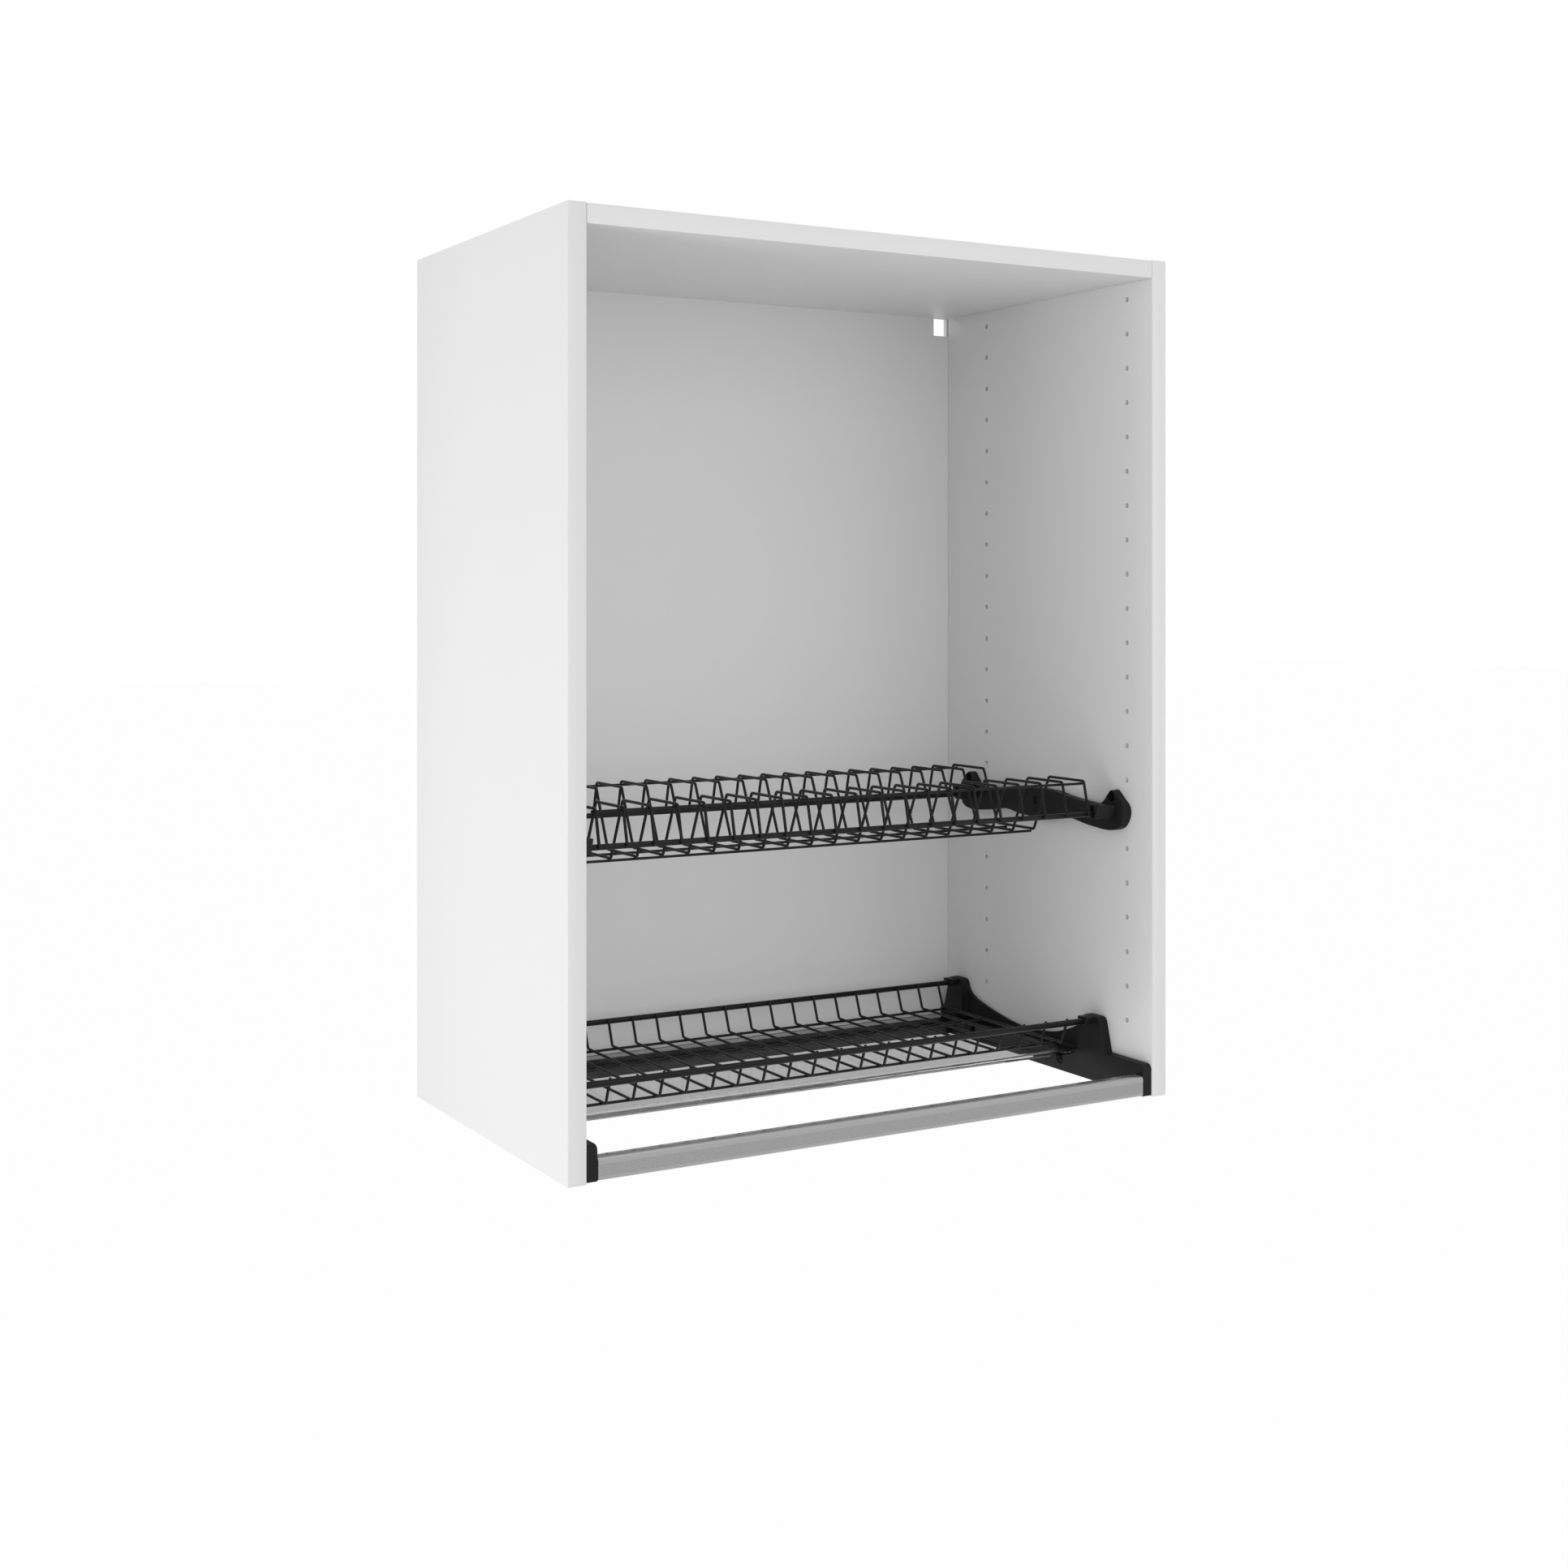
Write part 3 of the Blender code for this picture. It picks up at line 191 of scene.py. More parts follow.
def choose(piece):
    """Selects one piece alone and makes it the active one."""
    bpy.ops.object.select_all(action="DESELECT")
    piece.select_set(True)
    bpy.context.view_layer.objects.active = piece


@contextmanager
def editing(piece):
    """Edit mode on one piece, with nothing else selected."""
    choose(piece)
    bpy.ops.object.mode_set(mode="EDIT")
    yield
    bpy.ops.object.mode_set(mode="OBJECT")


def pick(piece, kind, wanted):
    """Selects the vertices, edges or faces of a piece in edit mode that pass a test."""
    bpy.ops.mesh.select_mode(type=kind)
    bpy.ops.mesh.select_all(action="DESELECT")
    shape = bmesh.from_edit_mesh(piece.data)
    for item in {"VERT": shape.verts, "EDGE": shape.edges, "FACE": shape.faces}[kind]:
        if wanted(item):
            item.select_set(True)
    shape.select_flush_mode()
    bmesh.update_edit_mesh(piece.data)


def shift(x=0, y=0, z=0):
    bpy.ops.transform.translate(value=(x, y, z))


def pull(x=0, y=0, z=0):
    bpy.ops.mesh.extrude_region_move(TRANSFORM_OT_translate={"value": (x, y, z)})


def named(name):
    piece = bpy.context.active_object
    piece.name = name
    piece.data.name = name
    return piece


def settle(piece):
    """Moves a piece's place, turn and size into its mesh."""
    choose(piece)
    bpy.ops.object.transform_apply(location=True, rotation=True, scale=True)
    return piece


def block(name, xs, ys, zs):
    """A box primitive between these limits, its place in its mesh."""
    bpy.ops.object.select_all(action="DESELECT")
    middle = [(pair[0] + pair[1]) / 2 for pair in (xs, ys, zs)]
    size = [abs(pair[1] - pair[0]) for pair in (xs, ys, zs)]
    bpy.ops.mesh.primitive_cube_add(size=1, location=middle, scale=size)
    return settle(named(name))


def block_over(node, name):
    """A block in the place of a node of the frame."""
    low, high, _ = box_of(node)
    return block(name, *zip(low, high))


def finish_with(piece, kind, **settings):
    """Adds a modifier and applies it."""
    choose(piece)
    modifier = piece.modifiers.new(kind.lower(), kind)
    for key, value in settings.items():
        setattr(modifier, key, value)
    bpy.ops.object.modifier_apply(modifier=modifier.name)


def bevel_edges(piece, width, segments=2, wanted=None):
    with editing(piece):
        pick(piece, "EDGE", wanted or (lambda edge: edge.calc_face_angle(0) > SHARP_ANGLE))
        bpy.ops.mesh.bevel(offset=width, segments=segments, profile=0.5, clamp_overlap=True)


def carve(piece, tools, operation="DIFFERENCE"):
    """Cuts each tool out of a piece, or adds it to the piece, and clears the tools away."""
    for tool in tools:
        finish_with(piece, "BOOLEAN", object=tool, operation=operation, solver="EXACT")
        bpy.data.objects.remove(tool)


def joined(pieces, name):
    bpy.ops.object.select_all(action="DESELECT")
    for piece in pieces:
        piece.select_set(True)
    bpy.context.view_layer.objects.active = pieces[0]
    bpy.ops.object.join()
    return named(name)


def flowing(points, steps, closed=False):
    """Places on a smooth curve that runs through these points."""
    given = [Vector(point) for point in points]
    if closed:
        given = [given[-1], *given, given[0], given[1]]
    else:
        given = [2 * given[0] - given[1], *given, 2 * given[-1] - given[-2]]
    places = [given[1]]
    for before, start, end, after in zip(given, given[1:], given[2:], given[3:]):
        spans = ((before, start), (start, end), (end, after))
        gaps = [math.sqrt((ahead - back).length) for back, ahead in spans]
        along = (end - start) / gaps[1]
        leave = gaps[1] * ((start - before) / gaps[0] - (end - before) / (gaps[0] + gaps[1]) + along)
        arrive = gaps[1] * (along - (after - start) / (gaps[1] + gaps[2]) + (after - end) / gaps[2])
        for step in range(1, steps + 1):
            t = step / steps
            place = (2 * t**3 - 3 * t**2 + 1) * start + (t**3 - 2 * t**2 + t) * leave
            places.append(place + (3 * t**2 - 2 * t**3) * end + (t**3 - t**2) * arrive)
    return places[:-1] if closed else places


def traced_face(name, places, x):
    """One flat face at x whose outline is drawn corner by corner through these places (y, z)."""
    bpy.ops.object.select_all(action="DESELECT")
    bpy.ops.mesh.primitive_plane_add(size=SEED_SIZE, location=(x, *places[0]))
    piece = settle(named(name))
    with editing(piece):
        bpy.ops.mesh.select_mode(type="VERT")
        bpy.ops.mesh.select_all(action="SELECT")
        bpy.ops.mesh.merge(type="CENTER")
        for before, after in zip(places, places[1:]):
            pull(0, after[0] - before[0], after[1] - before[1])
        bpy.ops.mesh.select_all(action="SELECT")
        bpy.ops.mesh.edge_face_add()
    return piece


def slab(name, places, xs):
    """A traced face made as thick as from one x to the other."""
    piece = traced_face(name, places, xs[0])
    with editing(piece):
        bpy.ops.mesh.select_all(action="SELECT")
        pull(xs[1] - xs[0])
        bpy.ops.mesh.select_all(action="SELECT")
        bpy.ops.mesh.normals_make_consistent(inside=False)
    return piece


def mirrored(piece, name):
    """A copy on the other side of the unit, its faces turned outwards again."""
    twin = copy_at(piece, name, (0, 0, 0))
    twin.data.transform(Matrix.Scale(-1, 4, (1, 0, 0)))
    twin.data.flip_normals()
    return twin


def smooth(piece, degrees):
    choose(piece)
    bpy.ops.object.shade_smooth_by_angle(angle=math.radians(degrees))


def dress(piece, body, slot, *nodes):
    """Gives a finished piece its body and the finish of its slot, and hides the nodes that it stands for."""
    piece.data.materials.clear()
    piece.data.materials.append(bpy.data.materials[f"{slot}_finish"])
    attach(piece, body)
    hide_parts(*nodes)


def dress_pair(piece, slot, node):
    """Dresses a piece on the right of the cabinet, and its mirrored twin on the left."""
    twin = mirrored(piece, piece.name.replace("right", "left"))
    dress(twin, "cabinet", slot, f"{node}_left")
    dress(piece, "cabinet", slot, f"{node}_right")


def copy_at(piece, name, offset):
    """A copy with its own mesh, moved in its mesh."""
    twin = piece.copy()
    twin.data = piece.data.copy()
    twin.name = name
    twin.data.name = name
    twin.data.transform(Matrix.Translation(offset))
    bpy.context.scene.collection.objects.link(twin)
    return twin


# Materials


TONE_SPAN = (0.3, 0.7)
BOARD_STRETCH = (1, 1, 0.05)
DOWEL_STRETCH = (0.08, 1, 1)
RAIL_STRETCH = (0.02, 1, 1)
# Heights above the tray's foot where its tint turns from the floor's own tint to the painted-light tint of
# the walls and rim
PAINTED_LIGHT_RISE = (0.0016, 0.0026)


def add_node(tree, kind, sockets=None, **settings):
    """A shader node with its settings, and each socket given a value or a link."""
    made = tree.nodes.new(kind)
    for key, value in settings.items():
        setattr(made, key, value)
    for key, value in (sockets or {}).items():
        if isinstance(value, bpy.types.NodeSocket):
            tree.links.new(value, made.inputs[key])
        else:
            made.inputs[key].default_value = value
    return made


def new_group(name, inputs, outputs):
    """A node group with these sockets, its input and output nodes in place."""
    tree = bpy.data.node_groups.new(name, "ShaderNodeTree")
    for label, kind, value in inputs:
        socket = tree.interface.new_socket(name=label, in_out="INPUT", socket_type=kind)
        socket.default_value = value
    for label, kind in outputs:
        tree.interface.new_socket(name=label, in_out="OUTPUT", socket_type=kind)
    return tree, tree.nodes.new("NodeGroupInput").outputs, tree.nodes.new("NodeGroupOutput").inputs


def grain_group():
    """Fine grain and slow clouds over a surface, stretched along its axes as a finish asks."""
    inputs = (
        ("Stretch", "NodeSocketVector", (1, 1, 1)),
        ("Grain Scale", "NodeSocketFloat", 900),
        ("Cloud Scale", "NodeSocketFloat", 6),
    )
    outputs = (("Grain", "NodeSocketFloat"), ("Cloud", "NodeSocketFloat"))
    tree, given, made = new_group("surface_grain", inputs, outputs)
    place = add_node(tree, "ShaderNodeTexCoord").outputs["Object"]
    stretched = add_node(tree, "ShaderNodeMapping", {"Vector": place, "Scale": given["Stretch"]})
    for label, detail in (("Grain", 2), ("Cloud", 1)):
        sockets = {"Vector": stretched.outputs[0], "Scale": given[f"{label} Scale"], "Detail": detail}
        noise = add_node(tree, "ShaderNodeTexNoise", sockets)
        tree.links.new(noise.outputs["Fac"], made[label])
    return tree


def finish_material(
    name, colours, roughness, grain, bump, metallic=0.0, stretch=(1, 1, 1), rise=None, **plain,
):
    """A surface whose gloss and relief vary with its grain, and its colour with its clouds; given a rise, its
    colour follows its height instead, which paints light on what lies above the rise.
    """
    material = bpy.data.materials.new(f"{name}_finish")
    material.use_nodes = True
    tree = material.node_tree
    surface = tree.nodes["Principled BSDF"]
    surface.inputs["Metallic"].default_value = metallic
    for key, value in plain.items():
        surface.inputs[key.replace("_", " ").title().replace("Ior", "IOR")].default_value = value
    sockets = {"Stretch": stretch, "Grain Scale": grain[0], "Cloud Scale": grain[1]}
    group = add_node(tree, "ShaderNodeGroup", sockets, node_tree=bpy.data.node_groups["surface_grain"])
    tone = group.outputs["Cloud"]
    # Painted light: the colour turns to the lighter tone above the rise
    if rise:
        place = add_node(tree, "ShaderNodeTexCoord").outputs["Object"]
        height = add_node(tree, "ShaderNodeSeparateXYZ", {"Vector": place}).outputs["Z"]
        sockets = {"Value": height, "From Min": rise[0], "From Max": rise[1]}
        tone = add_node(tree, "ShaderNodeMapRange", sockets).outputs[0]
    ramp = add_node(tree, "ShaderNodeValToRGB", {"Fac": tone})
    for element, position, colour in zip(ramp.color_ramp.elements, TONE_SPAN, colours):
        element.position = position
        element.color = (*colour, 1)
    tree.links.new(ramp.outputs["Color"], surface.inputs["Base Color"])
    sockets = {"Value": group.outputs["Grain"], "To Min": roughness[0], "To Max": roughness[1]}
    gloss = add_node(tree, "ShaderNodeMapRange", sockets)
    tree.links.new(gloss.outputs["Result"], surface.inputs["Roughness"])
    sockets = {"Height": group.outputs["Grain"], "Strength": bump[0], "Distance": bump[1]}
    bumps = add_node(tree, "ShaderNodeBump", sockets)
    tree.links.new(bumps.outputs["Normal"], surface.inputs["Normal"])
    return material


def shade(colour, share):
    return [channel * share for channel in colour]


def make_materials(scene):
    """Each material slot's finish, by the slot's name."""
    boards, wires = scene.drainer_boards, scene.drainer_wires
    fittings, tray = scene.drainer_fittings, scene.drainer_tray
    foot = box_of("drip_tray")[0].z
    grain_group()
    looks = {
        "white_melamine": dict(
            colours=(shade(boards.colour, 0.985), boards.colour), roughness=(0.42, 0.52),
            grain=(700, 5), bump=(0.08, 0.0003), stretch=BOARD_STRETCH,
        ),
        "white_backing_board": dict(
            colours=(shade(boards.back_colour, 0.975), boards.back_colour), roughness=(0.45, 0.58),
            grain=(500, 4), bump=(0.06, 0.0003), stretch=BOARD_STRETCH,
        ),
        "beech_dowel": dict(
            colours=((0.50, 0.33, 0.18), (0.66, 0.48, 0.31)), roughness=(0.6, 0.75),
            grain=(900, 60), bump=(0.3, 0.0003), stretch=DOWEL_STRETCH,
        ),
        "screw_steel": dict(
            colours=((0.011, 0.011, 0.0115), (0.018, 0.018, 0.0185)), roughness=(0.4, 0.55),
            grain=(1500, 90), bump=(0.1, 0.0001), metallic=1.0,
        ),
        "black_plastic": dict(
            colours=(shade(fittings.colour, 0.85), shade(fittings.colour, 1.2)), roughness=(0.42, 0.56),
            grain=(2600, 30), bump=(0.22, 0.0002), specular_ior_level=0.17,
        ),
        "black_wire": dict(
            colours=(shade(wires.colour, 0.85), shade(wires.colour, 1.25)), roughness=(0.3, 0.42),
            grain=(1100, 40), bump=(0.16, 0.0002), specular_ior_level=0.21,
        ),
        "anodised_aluminium": dict(
            colours=(shade(fittings.rail_colour, 0.94), fittings.rail_colour), roughness=(0.3, 0.42),
            grain=(2600, 40), bump=(0.05, 0.0001), metallic=0.6, stretch=RAIL_STRETCH,
            coat_weight=1.0, coat_roughness=0.12, coat_ior=1.8,
        ),
        # The tray's floor keeps its own tint; the lighter tint of its walls and rim is painted light
        "clear_plastic": dict(
            colours=(tray.tint, tray.rim_painted_light_tint), roughness=(0.0, 0.02), grain=(22, 14), bump=(0.3, 0.0005),
            rise=[foot + rise for rise in PAINTED_LIGHT_RISE], transmission_weight=1.0, ior=1.05,
        ),
    }
    return {slot: finish_material(slot, **look) for slot, look in looks.items()}


def slot_of(name):
    for part in frame["record"]["subparts"]:
        if part["node"] == name:
            return part["material_slot"]
    raise RuntimeError(f"the record has no slot for {name}")


# Operators


class DrainerStep:
    """What the steps share: each can be undone."""

    bl_options = {"REGISTER", "UNDO"}


class DRAINER_OT_finishes(DrainerStep, bpy.types.Operator):
    """Make the finishes and give every node of the frame its own"""

    bl_idname = "drainer.finishes"
    bl_label = "Finishes"

    def execute(self, context):
        materials = make_materials(context.scene)
        for name, node in NODES.items():
            node.data.materials.clear()
            node.data.materials.append(materials[slot_of(name)])
        return {"FINISHED"}


WIRE_END_SHARE = 0.22
ROD_END_SHARE = 0.2
ROD_SIDES = 20


def soften_ends(piece, width):
    """Rounds the end faces of a round piece in edit mode."""
    pick(piece, "FACE", lambda face: len(face.verts) > 4)
    bpy.ops.mesh.bevel(offset=width, segments=2, affect="EDGES")


def bent_wire(name, places, diameter, settings):
    """A round wire in the plane x = 0 that runs straight between its bends at these corners."""
    corners = [Vector((0, y, z)) for y, z in places]
    legs = [after - before for before, after in zip(corners, corners[1:])]
    first = legs[0].normalized()
    bpy.ops.object.select_all(action="DESELECT")
    bpy.ops.mesh.primitive_circle_add(
        vertices=settings.wire_sides, radius=diameter / 2, fill_type="NGON", location=corners[0],
        rotation=first.to_track_quat("Z", "X").to_euler(),
    )
    wire = settle(named(name))
    trimmed = 0
    with editing(wire):
        for index, (leg, following) in enumerate(zip(legs, legs[1:])):
            turn = leg.angle(following)
            trim = settings.bend * math.tan(turn / 2)
            way = leg.normalized()
            pull(*(way * (leg.length - trimmed - trim)))
            axis = leg.cross(following).normalized()
            inward = axis.cross(way)
            center = corners[index + 1] - way * trim + inward * settings.bend
            bpy.ops.mesh.spin(steps=settings.bend_steps, angle=-turn, center=center, axis=axis)
            trimmed = trim
        pull(*(legs[-1].normalized() * (legs[-1].length - trimmed)))
        bpy.ops.mesh.select_all(action="SELECT")
        bpy.ops.mesh.remove_doubles(threshold=MERGE_DISTANCE)
        bpy.ops.mesh.normals_make_consistent(inside=False)
        soften_ends(wire, diameter * WIRE_END_SHARE)
    smooth(wire, WIRE_SMOOTH)
    return wire


def peg(name, xs, y, z, diameter, sides=ROUND_SIDES):
    """A round primitive along X, its place in its mesh."""
    bpy.ops.object.select_all(action="DESELECT")
    bpy.ops.mesh.primitive_cylinder_add(
        vertices=sides, radius=diameter / 2, depth=abs(xs[1] - xs[0]), location=((xs[0] + xs[1]) / 2, y, z),
        rotation=(0, math.pi / 2, 0),
    )
    return settle(named(name))


def straight_rod(name, xs, y, z, diameter, sides):
    """A straight rod along X with softened ends."""
    rod = peg(name, xs, y, z, diameter, sides)
    with editing(rod):
        soften_ends(rod, diameter * ROD_END_SHARE)
    smooth(rod, WIRE_SMOOTH)
    return rod


def rod_over(node):
    """A straight rod in the place of a rod of the frame."""
    low, high, middle = box_of(node)
    return straight_rod(f"drawn_{node}", (low.x, high.x), middle.y, middle.z, high.z - low.z, ROD_SIDES)


PLATE_WIRE_COUNT = 21
PLATE_WIRE_DIAMETER = 0.0026
PLATE_WIRE_FOOT = (0.004589, 0.0015)
PLATE_HUMP = (0.0033786, 0.053, 0.031)
PLATE_TROUGH = (0.024, 0.0211)


class DRAINER_OT_plate_rack(DrainerStep, bpy.types.Operator):
    """Model the upper rack: bent plate wires over two rods and four long wires"""

    bl_idname = "drainer.plate_rack"
    bl_label = "Plate rack"

    def execute(self, context):
        settings = context.scene.drainer_wires
        middles = rods_of("plate_rack")
        foot_reach, foot_drop = PLATE_WIRE_FOOT
        hump_start, hump_length, hump_rise = PLATE_HUMP
        trough_run, trough_drop = PLATE_TROUGH
        hump_end = hump_start + hump_length
        half = [
            (-foot_reach, -foot_drop), (hump_start, hump_rise), (hump_end, hump_rise),
            (hump_end + trough_run, -trough_drop),
        ]
        z = middles[0].z
        places = [(middles[0].y + y, z + rise) for y, rise in half]
        places += [(middles[1].y - y, z + rise) for y, rise in reversed(half)]
        first = bent_wire("plate_wire_pattern", places, PLATE_WIRE_DIAMETER, settings)
        for index in range(1, PLATE_WIRE_COUNT + 1):
            node = f"plate_wire_{index:02d}"
            x = box_of(node)[2].x
            dress(copy_at(first, f"bent_{node}", (x, 0, 0)), "plate_rack", "black_wire", node)
        bpy.data.objects.remove(first)
        nodes = [f"plate_rack_{place}_rod" for place, _ in ENDS]
        nodes += [f"{kind}_wire_{place}" for kind in ("hump", "trough") for place, _ in ENDS]
        for node in nodes:
            dress(rod_over(node), "plate_rack", "black_wire", node)
        return {"FINISHED"}


GLASS_WIRE_DIAMETER = 0.0025
GLASS_TIP_RISE = 0.003
GLASS_TIP_INSETS = (0.003609, 0.003287)
GLASS_CORNER_INSETS = (0.012809, 0.012487)
GLASS_BED_DROP = 0.0207
GLASS_WIRE_COUNT = 21
GLASS_FIRST_X = -0.25
GLASS_WIRE_PITCH = 0.025
GLASS_LONG_REACH = 0.252
GLASS_LONG_DROP = 0.002
GLASS_LONG_INSETS = (0.0095, 0.005)
GLASS_LONG_MIDDLE_SHARE = 0.66


class DRAINER_OT_glass_rack(DrainerStep, bpy.types.Operator):
    """Model the lower rack: a welded grid of bent and long wires between two rods"""

    bl_idname = "drainer.glass_rack"
    bl_label = "Glass rack"

    def execute(self, context):
        settings = context.scene.drainer_wires
        middles = rods_of("glass_rack")
        z = middles[0].z
        bed = z - GLASS_BED_DROP
        places = [
            (middles[0].y + GLASS_TIP_INSETS[0], z + GLASS_TIP_RISE),
            (middles[0].y + GLASS_CORNER_INSETS[0], bed),
            (middles[1].y - GLASS_CORNER_INSETS[1], bed),
            (middles[1].y - GLASS_TIP_INSETS[1], z + GLASS_TIP_RISE),
        ]
        first = bent_wire("glass_wire_pattern", places, GLASS_WIRE_DIAMETER, settings)
        grid = [
            copy_at(first, "glass_cross_wire", (GLASS_FIRST_X + index * GLASS_WIRE_PITCH, 0, 0))
            for index in range(GLASS_WIRE_COUNT)
        ]
        bpy.data.objects.remove(first)
        front, rear = places[1][0], places[2][0]
        ys = (
            front + GLASS_LONG_INSETS[0], front + GLASS_LONG_MIDDLE_SHARE * (rear - front),
            rear - GLASS_LONG_INSETS[1],
        )
        xs = (-GLASS_LONG_REACH, GLASS_LONG_REACH)
        long_z = bed - GLASS_LONG_DROP
        sides = settings.wire_sides
        grid += [straight_rod("glass_long_wire", xs, y, long_z, GLASS_WIRE_DIAMETER, sides) for y in ys]
        dress(joined(grid, "welded_glass_rack_grid"), "cabinet", "black_wire", "glass_rack_grid")
        for place, _ in ENDS:
            node = f"glass_rack_{place}_rod"
            dress(rod_over(node), "cabinet", "black_wire", node)
        return {"FINISHED"}


GAP = 0.0003
OVERRUN = 0.002
WALL_X = box_of("side_panel_right")[0].x
PIN_ROW_SETBACKS = (0.036, 0.260)
PIN_FIRST_HEIGHT = 0.064
PIN_PITCH = 0.032
PIN_COUNT = 22
PIN_DEPTH = 0.0035
PIN_SIDES = 20
GROOVE_DEPTH = 0.005


class DRAINER_OT_boards(DrainerStep, bpy.types.Operator):
    """Model the side boards and the top board, with rounded edges, pin holes and the groove for the back"""

    bl_idname = "drainer.boards"
    bl_label = "Boards"

    def execute(self, context):
        settings = context.scene.drainer_boards
        back_low, back_high, _ = box_of("back_panel")
        groove_ys = (back_low.y - GAP, back_high.y + GAP)
        low = box_of("side_panel_right")[0]
        side = block_over("side_panel_right", "melamine_side_panel_right")
        bevel_edges(side, settings.edge_round)
        hole_xs = (WALL_X - OVERRUN, WALL_X + PIN_DEPTH)
        hole = peg("pin_hole", hole_xs, 0, 0, settings.pin_hole, PIN_SIDES)
        holes = [
            copy_at(hole, "pin_hole_copy", (0, low.y + setback, PIN_FIRST_HEIGHT + index * PIN_PITCH))
            for setback in PIN_ROW_SETBACKS for index in range(PIN_COUNT)
        ]
        bpy.data.objects.remove(hole)
        groove_xs = (WALL_X - OVERRUN, WALL_X + GROOVE_DEPTH)
        groove = block("groove", groove_xs, groove_ys, (low.z - OVERRUN, back_high.z + GAP))
        carve(side, [joined(holes, "pin_holes"), groove])
        smooth(side, SOLID_SMOOTH)
        dress_pair(side, "white_melamine", "side_panel")
        low, high, _ = box_of("top_panel")
        top = block_over("top_panel", "melamine_top_panel")
        bevel_edges(top, settings.edge_round)
        groove_zs = (low.z - OVERRUN, back_high.z + GAP)
        carve(top, [block("groove", (low.x - OVERRUN, high.x + OVERRUN), groove_ys, groove_zs)])
        smooth(top, SOLID_SMOOTH)
        dress(top, "cabinet", "white_melamine", "top_panel")
        return {"FINISHED"}


BRACKET_THICKNESS = 0.010
BRACKET_WEB = 0.0035
BRACKET_BAR_TOP = 0.030
TOWER_SIZE = (0.021, 0.032)
TRAY_TOP = 0.026
FRONT_TOWER_FOOT_SHARES = ((-1.0, 0.0),)
FRONT_TOWER_TOP_SHARES = ((-0.64, 0.89), (-0.55, 0.965), (-0.4, 1.0))
FRONT_TOWER_FALL_SHARES = ((0.44, 1.0), (0.62, 0.84), (0.78, 0.66), (0.95, 0.6))
RAMP_SHARES = (
    (0.115, 0.56), (0.138, 0.49), (0.19, 0.34), (0.289, 0.13), (0.413, 0.02),
    (0.543, 0.01), (0.654, 0.1), (0.797, 0.295), (0.9, 0.514),
)
REAR_TOWER_RISE_SHARES = ((-0.69, 0.72), (-0.6, 0.87), (-0.5, 0.96), (-0.35, 1.0))
REAR_TOWER_FALL_SHARES = ((0.42, 1.0), (0.69, 0.59), (0.94, 0.0))
NOSE_RADIUS = 0.005
BRACKET_BENDS = math.radians(24)
BRACKET_BEND_ROUND = 0.0012
BRACKET_FACE_ROUND = 0.0007
TOWER_WALL_SHARES = (0.92, -0.62)
WEB_ROUND = 0.0016
SOCKET_LENGTH = 0.009
SOCKET_DIAMETER = 0.0085
ROOF_DROPS = (0.0034, 0.0004)
ROOF_REACHES = (0.006, 0.0075)
ROOF_ROUND = 0.0005
LEDGE_WIDTH = 0.0075
LEDGE_INSET = 0.014
LEDGE_HEIGHTS = (0.022, 0.0242)
LEDGE_ROUND = 0.0004
SCREW_HEAD_DIAMETER = 0.0085
SCREW_HEAD_HEIGHT = 0.0025
SCREW_SEAT_DIAMETER = SCREW_HEAD_DIAMETER + 4 * GAP
SCREW_BORE_DIAMETER = 0.0042
QUARTER_STEPS = 5


def shares_of(shares, origin, size):
    """Places (y, z) at these shares of a size, counted from an origin."""
    return [(origin[0] + u * size[0], origin[1] + v * size[1]) for u, v in shares]


def wall(depth):
    """X at a depth inwards from the right side board."""
    return WALL_X - depth


def quarter(center, radius, start):
    """A quarter of a circle, clockwise from this angle, as places (y, z)."""
    angles = [math.radians(start - 90 * step / QUARTER_STEPS) for step in range(QUARTER_STEPS + 1)]
    return [(center[0] + radius * math.cos(angle), center[1] + radius * math.sin(angle)) for angle in angles]


